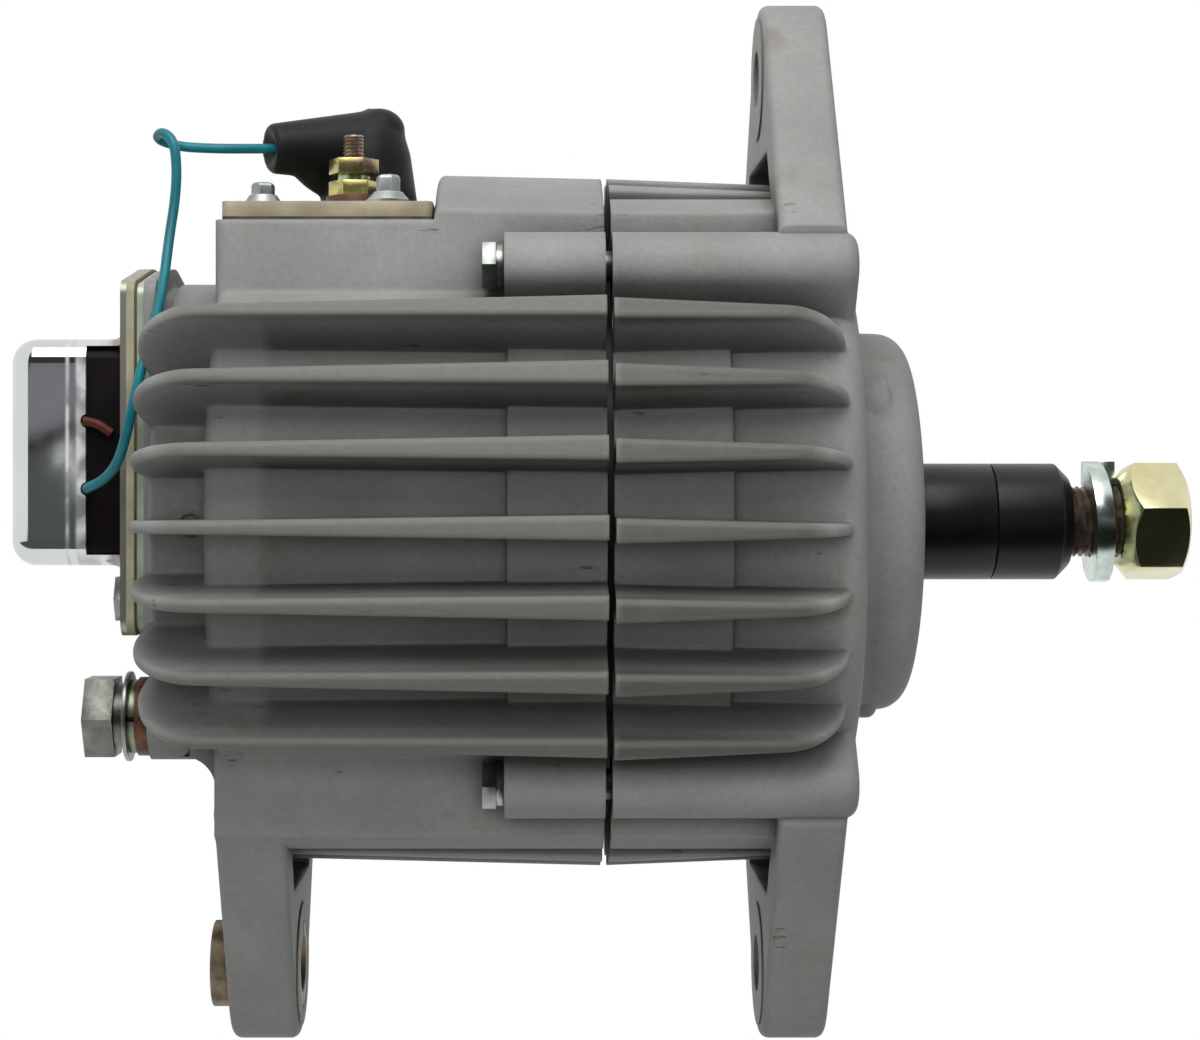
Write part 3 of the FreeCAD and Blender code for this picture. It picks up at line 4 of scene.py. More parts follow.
import bpy
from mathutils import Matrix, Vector


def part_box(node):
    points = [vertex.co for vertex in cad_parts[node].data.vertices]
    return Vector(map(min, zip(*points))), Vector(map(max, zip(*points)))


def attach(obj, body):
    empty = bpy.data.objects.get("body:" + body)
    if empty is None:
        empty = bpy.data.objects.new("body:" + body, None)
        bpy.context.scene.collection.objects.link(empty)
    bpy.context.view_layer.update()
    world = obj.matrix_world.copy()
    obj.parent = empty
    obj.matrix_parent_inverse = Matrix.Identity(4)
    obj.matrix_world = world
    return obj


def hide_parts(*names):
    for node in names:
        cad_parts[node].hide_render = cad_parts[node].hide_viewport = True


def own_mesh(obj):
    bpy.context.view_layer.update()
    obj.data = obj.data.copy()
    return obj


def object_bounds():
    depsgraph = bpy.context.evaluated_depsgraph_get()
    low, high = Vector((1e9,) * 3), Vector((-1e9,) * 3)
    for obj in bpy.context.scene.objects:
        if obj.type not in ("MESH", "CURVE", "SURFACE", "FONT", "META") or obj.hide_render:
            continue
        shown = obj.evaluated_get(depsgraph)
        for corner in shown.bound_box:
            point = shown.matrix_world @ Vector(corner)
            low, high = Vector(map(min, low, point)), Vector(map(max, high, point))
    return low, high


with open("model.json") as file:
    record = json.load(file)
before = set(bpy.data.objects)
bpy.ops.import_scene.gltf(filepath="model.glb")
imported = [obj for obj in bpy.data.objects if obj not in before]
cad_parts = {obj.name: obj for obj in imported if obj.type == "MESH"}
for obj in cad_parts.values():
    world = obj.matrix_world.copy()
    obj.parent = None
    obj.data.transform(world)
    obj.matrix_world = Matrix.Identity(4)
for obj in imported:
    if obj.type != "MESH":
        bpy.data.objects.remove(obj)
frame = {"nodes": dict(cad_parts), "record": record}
nodes = frame["nodes"]
cad_low, cad_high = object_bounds()
MM = 0.001


# Camera
# The photograph was taken square to the shaft from about half a metre, a little above it.
# The shift puts the picture's centre where the photograph has it.
picture_width = 1200
scene = bpy.context.scene
camera_data = bpy.data.cameras.new("camera")
camera_data.sensor_width = 36.0
camera_data.lens = 75.5
camera_data.shift_x = 67 / picture_width
camera_data.shift_y = -40 / picture_width
camera_data.clip_start = 0.02
camera_data.clip_end = 20.0
camera = bpy.data.objects.new("camera", camera_data)
camera.location = (-85.7 * MM, -565 * MM, 9.3 * MM)
camera.rotation_euler = (math.radians(90), 0, 0)
scene.collection.objects.link(camera)
scene.camera = camera


# Studio
# A pale floor under a white sky, both white to the eye and to reflections, with a large soft lamp
# above, a wide one behind the camera and one for the far side. Dark cards behind the camera stand
# for the unlit room, and give plated metal its dark bands.
def linear(hex_colour):
    """The linear colour of an sRGB hex value."""
    shades = [int(hex_colour[i : i + 2], 16) / 255 for i in (1, 3, 5)]
    return (*[s / 12.92 if s <= 0.04045 else ((s + 0.055) / 1.055) ** 2.4 for s in shades], 1.0)


def add(tree, kind, inputs=None, **settings):
    """One node with its settings, whose inputs are values or other nodes' outputs."""
    node = tree.nodes.new(kind)
    for key, value in settings.items():
        setattr(node, key, value)
    for key, value in (inputs or {}).items():
        if isinstance(value, bpy.types.NodeSocket):
            tree.links.new(value, node.inputs[key])
        else:
            node.inputs[key].default_value = value
    return node


def seen_white(tree):
    """1 for rays from the eye, a mirror or glass, and 0 for light that falls on the object."""
    ray = add(tree, "ShaderNodeLightPath")
    eye_or_mirror = add(
        tree,
        "ShaderNodeMath",
        {0: ray.outputs["Is Camera Ray"], 1: ray.outputs["Is Glossy Ray"]},
        operation="MAXIMUM",
    )
    return add(
        tree,
        "ShaderNodeMath",
        {0: eye_or_mirror.outputs[0], 1: ray.outputs["Is Transmission Ray"]},
        operation="MAXIMUM",
    ).outputs[0]


def placed(stretch=(1.0, 1.0, 1.0)):
    """The primitive just added, stretched, with its place in its mesh."""
    thing = bpy.context.object
    thing.scale = stretch
    bpy.ops.object.transform_apply(location=True, rotation=True, scale=True)
    return thing


scene.view_settings.view_transform = "Standard"
world = bpy.data.worlds.new("studio")
world.use_nodes = True
scene.world = world
sky = world.node_tree
sky.nodes.clear()
sky_fill = add(sky, "ShaderNodeBackground", {"Color": linear("#ffffff"), "Strength": 0.14})
sky_seen = add(sky, "ShaderNodeBackground", {"Color": linear("#ffffff"), "Strength": 1.0})
sky_mix = add(
    sky,
    "ShaderNodeMixShader",
    {0: seen_white(sky), 1: sky_fill.outputs[0], 2: sky_seen.outputs[0]},
)
add(sky, "ShaderNodeOutputWorld", {"Surface": sky_mix.outputs[0]})

floor_look = bpy.data.materials.new("studio_floor")
floor_look.use_nodes = True
floor_tree = floor_look.node_tree
floor_tree.nodes.clear()
floor_matte = add(floor_tree, "ShaderNodeBsdfDiffuse", {"Color": linear("#a6a6a4")})
floor_white = add(floor_tree, "ShaderNodeEmission", {"Color": linear("#ffffff"), "Strength": 1.0})
floor_mix = add(
    floor_tree,
    "ShaderNodeMixShader",
    {0: seen_white(floor_tree), 1: floor_matte.outputs[0], 2: floor_white.outputs[0]},
)
add(floor_tree, "ShaderNodeOutputMaterial", {"Surface": floor_mix.outputs[0]})
floor_z = cad_low.z - 30 * MM
bpy.ops.mesh.primitive_plane_add(size=6.0, location=(0, 0, floor_z))
floor = placed()
floor.name = "floor"
floor.data.materials.append(floor_look)


def lamp(name, place, target, size, power, in_mirrors=True):
    """A square soft lamp. Out of mirrors it lights the part, but leaves no shape in its metal."""
    data = bpy.data.lights.new(name, "AREA")
    data.size = size
    data.energy = power
    thing = bpy.data.objects.new(name, data)
    thing.location = place
    thing.rotation_euler = (Vector(target) - Vector(place)).to_track_quat("-Z", "Y").to_euler()
    thing.visible_glossy = in_mirrors
    scene.collection.objects.link(thing)


part_middle = (-0.08, 0, 0)
lamp("lamp_above", (-0.12, -0.36, 0.52), (-0.08, 0, 0.02), size=0.5, power=3.3)
lamp("lamp_front", (-0.1, -1.2, 0.1), part_middle, size=0.7, power=5.8, in_mirrors=False)
lamp("lamp_behind", (-0.35, 0.95, 0.45), part_middle, size=0.8, power=7.0, in_mirrors=False)


def card(name, hex_colour, place, width, height, lying=False):
    """A plain card that only mirrors see, upright behind the camera or lying on the floor."""
    bpy.ops.object.select_all(action="DESELECT")
    tilt = 0 if lying else math.radians(-90)
    bpy.ops.mesh.primitive_plane_add(size=1.0, location=place, rotation=(tilt, 0, 0))
    thing = placed((width, height, 1.0))
    thing.name = name
    look = bpy.data.materials.new(name)
    look.use_nodes = True
    look.node_tree.nodes.clear()
    glow = add(look.node_tree, "ShaderNodeEmission", {"Color": linear(hex_colour), "Strength": 1.0})
    add(look.node_tree, "ShaderNodeOutputMaterial", {"Surface": glow.outputs[0]})
    thing.data.materials.append(look)
    thing.visible_camera = False
    thing.visible_diffuse = False
    thing.visible_shadow = False


on_floor = floor_z + 1 * MM
card("card_room", "#3e3c3e", (0.85, -1.62, 1.1), width=4.3, height=2.5)
card("card_window", "#8b8a90", (-0.04, -1.6, 0.139), width=2.52, height=0.152)
card("card_dark_band", "#1c1d1a", (0.85, -1.6, 0.05), width=4.3, height=0.03)
card("card_lamp_stand", "#f0f0f2", (-0.505, -1.595, 0.01), width=0.07, height=0.034)
card("card_low", "#5a5d5a", (0.85, -1.6, -0.06), width=4.3, height=0.18)
card("card_bench", "#565a55", (-0.7, -0.9, on_floor), width=1.2, height=1.4, lying=True)
card("card_table", "#1f201c", (0.65, -0.85, on_floor), width=1.5, height=1.5, lying=True)


# Iron and windings
# The stator's core and the rotor's two claw poles are machined iron, and carry coils of enamelled
# copper wire, the rotor's on a moulded bobbin. They can't be seen, so they keep plain shapes.
def surface(
    name,
    pale,
    dark,
    metallic,
    roughness,
    spread_mm,
    grain_mm,
    relief_mm,
    uneven=0.06,
    gloss=0.5,
    edge_wear_and_sheen=None,
):
    """A finish that drifts between two colours over spread_mm, with a grain that can be felt.

    The grain stands relief_mm high and takes the roughness up and down by uneven. gloss is the
    specular level, and the edge colour is rubbed wear on metal and a painted sheen on rubber.
    """
    look = bpy.data.materials.new(name)
    look.use_nodes = True
    tree = look.node_tree
    shader = tree.nodes["Principled BSDF"]
    shader.inputs["Metallic"].default_value = metallic
    shader.inputs["Specular IOR Level"].default_value = gloss
    place = add(tree, "ShaderNodeTexCoord").outputs["Object"]
    drift = add(
        tree,
        "ShaderNodeTexNoise",
        {"Vector": place, "Scale": 1 / (spread_mm * MM), "Detail": 4.0},
    )
    grain = add(
        tree,
        "ShaderNodeTexNoise",
        {"Vector": place, "Scale": 1 / (grain_mm * MM), "Detail": 3.0},
    )
    spread = add(
        tree,
        "ShaderNodeMapRange",
        {"Value": drift.outputs["Fac"], "From Min": 0.35, "From Max": 0.65},
    )
    colour = add(
        tree,
        "ShaderNodeMix",
        {"Factor": spread.outputs["Result"], "A": linear(dark), "B": linear(pale)},
        data_type="RGBA",
    )
    tone = colour.outputs["Result"]
    if edge_wear_and_sheen:
        # A rounded normal departs from the true one only beside an edge, where metal wears and
        # rubber has a painted sheen.
        rounded = add(tree, "ShaderNodeBevel", {"Radius": 0.5 * MM}, samples=4)
        sharp = add(tree, "ShaderNodeNewGeometry")
        alike = add(
            tree,
            "ShaderNodeVectorMath",
            {0: rounded.outputs["Normal"], 1: sharp.outputs["Normal"]},
            operation="DOT_PRODUCT",
        )
        edge = add(
            tree,
            "ShaderNodeMapRange",
            {"Value": alike.outputs["Value"], "From Min": 0.99, "From Max": 0.88, "To Max": 0.7},
        )
        tone = add(
            tree,
            "ShaderNodeMix",
            {"Factor": edge.outputs["Result"], "A": tone, "B": linear(edge_wear_and_sheen)},
            data_type="RGBA",
        ).outputs["Result"]
    tree.links.new(tone, shader.inputs["Base Color"])
    rough = add(
        tree,
        "ShaderNodeMapRange",
        {
            "Value": grain.outputs["Fac"],
            "To Min": max(roughness - uneven, 0.02),
            "To Max": min(roughness + uneven, 1.0),
        },
    )
    tree.links.new(rough.outputs["Result"], shader.inputs["Roughness"])
    bump = add(
        tree,
        "ShaderNodeBump",
        {"Height": grain.outputs["Fac"], "Distance": relief_mm * MM, "Strength": 1.0},
    )
    tree.links.new(bump.outputs["Normal"], shader.inputs["Normal"])
    return look


def dress(look, *names):
    """Gives CAD nodes a finish and leaves their shape as it is."""
    for name in names:
        nodes[name].data.materials.clear()
        nodes[name].data.materials.append(look)


# Machined iron: dark grey, with a weak metal gloss blurred by the tool's marks.
iron = surface(
    "machined_iron", "#3a3a3b", "#2a2a2b", metallic=0.7, roughness=0.5,
    spread_mm=10, grain_mm=0.6, relief_mm=0.03,
)
dress(iron, "front_claw_pole", "rear_claw_pole", "stator_core")

# Enamelled copper: red-brown under a clear enamel that takes most of the metal's gloss. The
# grain is as wide as the wire.
copper_wire = surface(
    "enamelled_copper", "#9a4a22", "#7c3a1a", metallic=0.3, roughness=0.35,
    spread_mm=6, grain_mm=1.0, relief_mm=0.1,
)
dress(copper_wire, "stator_windings", "field_coil")

# Black moulding: a warm, half-matte black plastic.
black_moulding = surface(
    "black_moulding", "#1d1a18", "#141210", metallic=0.0, roughness=0.5,
    spread_mm=8, grain_mm=0.7, relief_mm=0.02,
)
dress(black_moulding, "coil_bobbin")


# Bearings
# Two ball bearings in ground steel. The front one is kept in the nose by a stamped retainer with
# three screws, in bright zinc.

# Ground steel: a bright, clean metal with sharp reflections.
ground_steel = surface(
    "ground_bearing_steel", "#c9cacb", "#b4b6b8", metallic=1.0, roughness=0.2, uneven=0.05,
    spread_mm=12, grain_mm=0.5, relief_mm=0.005,
)
dress(ground_steel, *(name for name in nodes if "_bearing_" in name))

# Bright zinc plate that has gone grey and a little blue: blurred highlights, uneven from pit to
# pit, on a middle grey metal.
bright_zinc = surface(
    "bright_zinc_plate", "#a3a6a2", "#7b7f7b", metallic=1.0, roughness=0.34, uneven=0.1,
    spread_mm=5, grain_mm=0.9, relief_mm=0.02,
)
dress(bright_zinc, "bearing_retainer", "retainer_screws")


# Brushes and slip rings
# Two brushes of pressed carbon in a black moulded holder, each pushed on to a copper ring by a
# coil spring.
body_of = {}
for body, group in frame["record"]["behaviour"]["bodies"].items():
    for name in group:
        body_of[name] = body


def finished(node, look, edge_mm=0.0):
    """A copy of a CAD node with its doubles merged and its edges softened, in place of the node."""
    bpy.ops.object.select_all(action="DESELECT")
    copy = bpy.data.objects.new(node + "_finished", nodes[node].data.copy())
    copy.data.materials.clear()
    copy.data.materials.append(look)
    scene.collection.objects.link(copy)
    copy.select_set(True)
    bpy.context.view_layer.objects.active = copy
    if copy.data.has_custom_normals:
        bpy.ops.mesh.customdata_custom_splitnormals_clear()
    bpy.ops.object.mode_set(mode="EDIT")
    bpy.ops.mesh.select_all(action="SELECT")
    bpy.ops.mesh.remove_doubles(threshold=0.001 * MM)
    bpy.ops.object.mode_set(mode="OBJECT")
    if edge_mm:
        soft = copy.modifiers.new("soft_edges", "BEVEL")
        soft.width = edge_mm * MM
        soft.segments = 2
        soft.limit_method = "ANGLE"
        soft.angle_limit = math.radians(40)
        bpy.ops.object.modifier_apply(modifier="soft_edges")
    bpy.ops.object.shade_smooth_by_angle(angle=math.radians(35))
    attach(copy, body_of[node])
    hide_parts(node)
    return copy


for side in ("front", "rear"):
    coil = finished(side + "_brush_spring", ground_steel)
    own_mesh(coil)
dress(black_moulding, "slip_ring_sleeve", "brush_holder")

# Turned copper: a warm metal, a little blurred by the brushes' track.
turned_copper = surface(
    "turned_copper", "#b87a56", "#955c3d", metallic=1.0, roughness=0.35,
    spread_mm=6, grain_mm=0.6, relief_mm=0.02,
)
dress(turned_copper, "slip_rings")

# Pressed carbon: near black, with the faint grey shine of graphite.
carbon = surface(
    "pressed_carbon", "#262626", "#1a1a1a", metallic=0.2, roughness=0.45,
    spread_mm=4, grain_mm=0.4, relief_mm=0.02,
)
dress(carbon, "front_brush", "rear_brush")


# Rectifier
# Six diodes pressed into two plates of sheet aluminium, which carry off their heat: three in the
# plate under the terminals, and three in the half ring on the rear wall.

# Sheet aluminium: light grey, with a soft gloss from the rolls.
sheet_metal = surface(
    "sink_aluminium", "#a9aaaa", "#949696", metallic=0.8, roughness=0.4,
    spread_mm=9, grain_mm=0.6, relief_mm=0.02,
)
dress(sheet_metal, "positive_heat_sink", "negative_heat_sink", "rectifier_diodes")


# Shaft
# Turned steel with a dry, browned thread of 18 turns to the inch at its end. The thread is a ridge
# with a diamond section, wound round the solid's rod, which is drawn in to the thread's core.
def joined(first, *others):
    """Makes the others part of the first one's mesh."""
    bpy.ops.object.select_all(action="DESELECT")
    for thing in (first, *others):
        thing.select_set(True)
    bpy.context.view_layer.objects.active = first
    bpy.ops.object.join()


def ridge(pitch, crest_r, turns, start, axis, look):
    """A thread's ridge, wound round the X or Z axis through the start's centre."""
    bpy.ops.object.select_all(action="DESELECT")
    upright = axis == "Z"
    # Half the diamond's depth. It is 0.8 times as wide, so that neighbouring turns just touch.
    reach = 0.62 * pitch
    offset = (crest_r - reach, 0, 0) if upright else (0, 0, crest_r - reach)
    bpy.ops.mesh.primitive_circle_add(
        vertices=4, radius=reach, location=offset, rotation=(math.radians(90), 0, 0)
    )
    thing = placed((1.0, 0.8, 1.0) if upright else (0.8, 1.0, 1.0))
    winding = thing.modifiers.new("winding", "SCREW")
    winding.axis = axis
    winding.angle = math.radians(360)
    winding.screw_offset = pitch
    winding.iterations = turns
    winding.steps = 32
    winding.render_steps = 32
    bpy.ops.object.modifier_apply(modifier="winding")
    bpy.ops.object.mode_set(mode="EDIT")
    bpy.ops.mesh.select_all(action="DESELECT")
    bpy.ops.mesh.select_mode(type="EDGE")
    bpy.ops.mesh.select_non_manifold()
    bpy.ops.mesh.edge_face_add()
    bpy.ops.mesh.select_all(action="SELECT")
    bpy.ops.mesh.normals_make_consistent(inside=False)
    bpy.ops.object.mode_set(mode="OBJECT")
    thing.location = start
    placed()
    bpy.ops.object.shade_smooth_by_angle(angle=math.radians(35))
    thing.data.materials.append(look)
    return thing


def drawn_in(thing, centre, axis, low, high, from_r, to_r):
    """Draws the outside of a rod in to a smaller radius between two places on its axis."""
    bpy.ops.object.select_all(action="DESELECT")
    thing.select_set(True)
    bpy.context.view_layer.objects.active = thing
    bpy.ops.object.mode_set(mode="EDIT")
    bpy.ops.mesh.select_mode(type="VERT")
    bpy.ops.mesh.select_all(action="DESELECT")
    bpy.ops.object.mode_set(mode="OBJECT")
    across = [i for i in range(3) if i != axis]
    widest = 0.0
    for vertex in thing.data.vertices:
        spot = vertex.co - centre
        r = math.hypot(spot[across[0]], spot[across[1]])
        vertex.select = low < vertex.co[axis] < high and r > from_r
        widest = max(widest, r if vertex.select else 0.0)
    bpy.ops.object.mode_set(mode="EDIT")
    squeeze = [to_r / widest] * 3
    squeeze[axis] = 1.0
    bpy.ops.transform.resize(value=squeeze, center_override=centre)
    bpy.ops.object.mode_set(mode="OBJECT")


# Bare steel that has browned: a dull metal, darker from turn to turn of the thread.
brown_steel = surface(
    "worn_thread_steel", "#85776a", "#544a40", metallic=0.8, roughness=0.42, uneven=0.1,
    spread_mm=2, grain_mm=0.5, relief_mm=0.03,
)
shaft = finished("rotor_shaft", brown_steel)
shaft_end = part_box("rotor_shaft")[1].x
thread_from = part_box("outer_spacer")[1].x - 2.4 * MM
thread_pitch = 25.4 / 18 * MM
thread_r = 7.9375 * MM
core_r = 7.15 * MM
drawn_in(
    shaft,
    Vector((0, 0, 0)),
    axis=0,
    low=thread_from - 0.1 * MM,
    high=shaft_end - 0.5 * MM,
    from_r=7.5 * MM,
    to_r=core_r,
)
shaft_thread = ridge(
    thread_pitch,
    thread_r,
    turns=int((shaft_end - 1.0 * MM - thread_from) / thread_pitch),
    start=(thread_from + 0.5 * thread_pitch, 0, 0),
    axis="X",
    look=brown_steel,
)
joined(shaft, shaft_thread)

# Seal rubber: dark brown and matte.
seal_rubber = surface(
    "seal_rubber", "#4a3227", "#33231c", metallic=0.0, roughness=0.6,
    spread_mm=5, grain_mm=0.6, relief_mm=0.03,
)
dress(seal_rubber, "shaft_seal")


# Castings
# Two halves of cast aluminium, blasted to a matte grey, with brown stains and a few scratches from
# handling. The fins' tips are a darker grey, and the hollows get painted shade.
def cast_aluminium():
    """Blasting breaks up the metal's reflections, so the casting is a matte grey to the eye."""
    look = bpy.data.materials.new("blasted_cast_aluminium")
    look.use_nodes = True
    tree = look.node_tree
    shader = tree.nodes["Principled BSDF"]
    shader.inputs["Metallic"].default_value = 0.0
    shader.inputs["Specular IOR Level"].default_value = 0.3
    place = add(tree, "ShaderNodeTexCoord").outputs["Object"]

    # The bare skin: wide clouds, the mould's grain, and the blasting grit, which is drawn about
    # twice as coarse as it is so that it shows.
    cloud_size, grain_size, grit_size = 26 * MM, 1.3 * MM, 0.45 * MM
    cloud = add(
        tree, "ShaderNodeTexNoise", {"Vector": place, "Scale": 1 / cloud_size, "Detail": 5.0}
    )
    grain = add(
        tree, "ShaderNodeTexNoise", {"Vector": place, "Scale": 1 / grain_size, "Detail": 4.0}
    )
    grit = add(tree, "ShaderNodeTexNoise", {"Vector": place, "Scale": 1 / grit_size, "Detail": 2.0})
    clouds = add(
        tree,
        "ShaderNodeMapRange",
        {"Value": cloud.outputs["Fac"], "From Min": 0.36, "From Max": 0.64},
    )
    grey = add(
        tree,
        "ShaderNodeMix",
        {"Factor": clouds.outputs["Result"], "A": linear("#8b8c89"), "B": linear("#979895")},
        data_type="RGBA",
    )

    # A darker grey on the fins' tips, which are the skin beyond tip_r at the sides. It is darker on
    # the front half, past the joint at joint_x, and its border is ragged by ragged_by.
    tip_r, tip_full_r, ragged_by = 73.0 * MM, 75.5 * MM, 2.0 * MM
    side_z, plain_z = 46 * MM, 50 * MM
    joint_x, joint_end_x = -72 * MM, -68 * MM
    split = add(tree, "ShaderNodeSeparateXYZ", {"Vector": place})
    flat = add(tree, "ShaderNodeCombineXYZ", {"Y": split.outputs["Y"], "Z": split.outputs["Z"]})
    radius = add(tree, "ShaderNodeVectorMath", {0: flat.outputs[0]}, operation="LENGTH")
    ragged = add(
        tree,
        "ShaderNodeMath",
        {0: grain.outputs["Fac"], 1: ragged_by, 2: radius.outputs["Value"]},
        operation="MULTIPLY_ADD",
    )
    outside = add(
        tree,
        "ShaderNodeMapRange",
        {"Value": ragged.outputs[0], "From Min": tip_r, "From Max": tip_full_r},
    )
    height = add(tree, "ShaderNodeMath", {0: split.outputs["Z"]}, operation="ABSOLUTE")
    level = add(
        tree,
        "ShaderNodeMapRange",
        {
            "Value": height.outputs[0],
            "From Min": side_z,
            "From Max": plain_z,
            "To Min": 1.0,
            "To Max": 0.0,
        },
    )
    tip = add(
        tree,
        "ShaderNodeMath",
        {0: outside.outputs[0], 1: level.outputs[0]},
        operation="MULTIPLY",
    )
    front_half = add(
        tree,
        "ShaderNodeMapRange",
        {"Value": split.outputs["X"], "From Min": joint_x, "From Max": joint_end_x},
    )
    tip_grey = add(
        tree,
        "ShaderNodeMix",
        {"Factor": front_half.outputs["Result"], "A": linear("#72726c"), "B": linear("#62625c")},
        data_type="RGBA",
    )
    tip_greyed = add(
        tree,
        "ShaderNodeMix",
        {"Factor": tip.outputs[0], "A": grey.outputs["Result"], "B": tip_grey.outputs["Result"]},
        data_type="RGBA",
    )

    # Brown blots, a finger's width across.
    blot_size = 19 * MM
    blot = add(tree, "ShaderNodeTexNoise", {"Vector": place, "Scale": 1 / blot_size, "Detail": 4.0})
    blots = add(
        tree,
        "ShaderNodeMapRange",
        {"Value": blot.outputs["Fac"], "From Min": 0.62, "From Max": 0.74, "To Max": 0.5},
    )
    stained = add(
        tree,
        "ShaderNodeMix",
        {"Factor": blots.outputs["Result"], "A": tip_greyed.outputs["Result"], "B": linear("#776d60")},
        data_type="RGBA",
    )

    # Scratches and dents, drawn out along the shaft, which only show in scattered patches.
    scratch_width, patch_size = 1.6 * MM, 14 * MM
    drawn_out = add(tree, "ShaderNodeMapping", {"Vector": place, "Scale": (0.16, 1.0, 1.0)})
    streak = add(
        tree,
        "ShaderNodeTexNoise",
        {
            "Vector": drawn_out.outputs[0],
            "Scale": 1 / scratch_width,
            "Detail": 3.0,
            "Roughness": 0.7,
        },
    )
    patch = add(
        tree, "ShaderNodeTexNoise", {"Vector": place, "Scale": 1 / patch_size, "Detail": 1.0}
    )
    scratch = add(
        tree,
        "ShaderNodeMapRange",
        {"Value": streak.outputs["Fac"], "From Min": 0.6, "From Max": 0.68},
    )
    patches = add(
        tree,
        "ShaderNodeMapRange",
        {"Value": patch.outputs["Fac"], "From Min": 0.63, "From Max": 0.67},
    )
    marks = add(
        tree,
        "ShaderNodeMath",
        {0: scratch.outputs["Result"], 1: patches.outputs["Result"]},
        operation="MULTIPLY",
    )
    marked = add(
        tree,
        "ShaderNodeMix",
        {"Factor": marks.outputs[0], "A": stained.outputs["Result"], "B": linear("#55534d")},
        data_type="RGBA",
    )
    speck = add(
        tree,
        "ShaderNodeMapRange",
        {"Value": grain.outputs["Fac"], "To Min": 0.82, "To Max": 1.12},
    )
    specked = add(
        tree,
        "ShaderNodeVectorMath",
        {0: marked.outputs["Result"], "Scale": speck.outputs["Result"]},
        operation="SCALE",
    )

    # Painted shade in the hollows between the fins. On the hub, behind hub_x, it is kept lighter.
    hollow_depth = 18 * MM
    hub_x, hub_end_x = -141 * MM, -137 * MM
    hollow = add(tree, "ShaderNodeAmbientOcclusion", {"Distance": hollow_depth}, samples=6)
    painted_shade = add(
        tree,
        "ShaderNodeMapRange",
        {
            "Value": hollow.outputs["AO"],
            "From Min": 0.2,
            "From Max": 0.82,
            "To Min": 0.18,
            "To Max": 1.0,
        },
    )
    hub = add(
        tree,
        "ShaderNodeMapRange",
        {
            "Value": split.outputs["X"],
            "From Min": hub_x,
            "From Max": hub_end_x,
            "To Min": 0.66,
            "To Max": 0.0,
        },
    )
    shade_factor = add(
        tree,
        "ShaderNodeMath",
        {0: painted_shade.outputs["Result"], 1: hub.outputs["Result"]},
        operation="MAXIMUM",
    )

    # Edges rubbed pale, with a painted highlight along them. The rounded normal also takes the
    # hardness off them.
    rounded = add(tree, "ShaderNodeBevel", {"Radius": 2.0 * MM}, samples=4)
    sharp = add(tree, "ShaderNodeNewGeometry")
    alike = add(
        tree,
        "ShaderNodeVectorMath",
        {0: rounded.outputs["Normal"], 1: sharp.outputs["Normal"]},
        operation="DOT_PRODUCT",
    )
    edge = add(
        tree,
        "ShaderNodeMapRange",
        {"Value": alike.outputs["Value"], "From Min": 0.99, "From Max": 0.86, "To Max": 0.45},
    )
    edge_wear_and_highlight = add(
        tree,
        "ShaderNodeMix",
        {"Factor": edge.outputs["Result"], "A": specked.outputs[0], "B": linear("#b2b3ae")},
        data_type="RGBA",
    )
    # The base colour, darkened by the painted shade.
    shaded_base = add(
        tree,
        "ShaderNodeVectorMath",
        {0: edge_wear_and_highlight.outputs["Result"], "Scale": shade_factor.outputs[0]},
        operation="SCALE",
    )
    tree.links.new(shaded_base.outputs[0], shader.inputs["Base Color"])
    rough = add(
        tree,
        "ShaderNodeMapRange",
        {"Value": cloud.outputs["Fac"], "To Min": 0.5, "To Max": 0.68},
    )
    tree.links.new(rough.outputs["Result"], shader.inputs["Roughness"])

    # The relief, from the finest to the deepest: grit, grain, and dents that go inwards.
    normal = rounded.outputs["Normal"]
    for relief, depth in (
        (grit.outputs["Fac"], 0.03 * MM),
        (grain.outputs["Fac"], 0.05 * MM),
        (marks.outputs[0], -0.1 * MM),
    ):
        normal = add(
            tree,
            "ShaderNodeBump",
            {"Height": relief, "Distance": depth, "Strength": 1.0, "Normal": normal},
        ).outputs["Normal"]
    tree.links.new(normal, shader.inputs["Normal"])
    return look


casting = cast_aluminium()
for half in ("rear_housing", "drive_end_housing"):
    finished(half, casting)


# Through-bolts
# Cold-headed hex bolts in bright zinc, each on a split washer, which draw the two halves together.
# They go in from the rear, so their heads stand on the rear half's bosses.
finished("through_bolts", bright_zinc, 0.15)
finished("through_bolt_washers", bright_zinc, 0.12)


# Adjusting sleeve
# A split steel sleeve, turned to fit the bore of the rear foot, where it slides to take up the
# width of the bracket.

# Rust-stained steel: brown and grey patches with little gloss left.
rusty_steel = surface(
    "rust_stained_steel", "#8a7a66", "#4f4236", metallic=0.6, roughness=0.5, uneven=0.1,
    spread_mm=5, grain_mm=0.7, relief_mm=0.05,
)
finished("adjusting_bushing", rusty_steel, 0.3)


# Sleeves, lock washer and nut
# Two turned sleeves with a black oxide stand on the shaft in place of a pulley, and a split lock
# washer and a hex nut hold them.

# Black oxide: a thin film that hides the metal's colour, near black with a satin gloss.
black_oxide = surface(
    "black_oxide_steel", "#0f1312", "#080a0a", metallic=0.0, roughness=0.36, gloss=0.28,
    spread_mm=14, grain_mm=0.7, relief_mm=0.02,
)
for node in ("inner_spacer", "outer_spacer"):
    finished(node, black_oxide, 0.2)

# Clear zinc: a pale, cold metal with clean reflections.
clear_zinc = surface(
    "clear_zinc", "#cfdad3", "#9fb0a8", metallic=1.0, roughness=0.24,
    spread_mm=6, grain_mm=0.9, relief_mm=0.01,
)
finished("shaft_lock_washer", clear_zinc, 0.15)

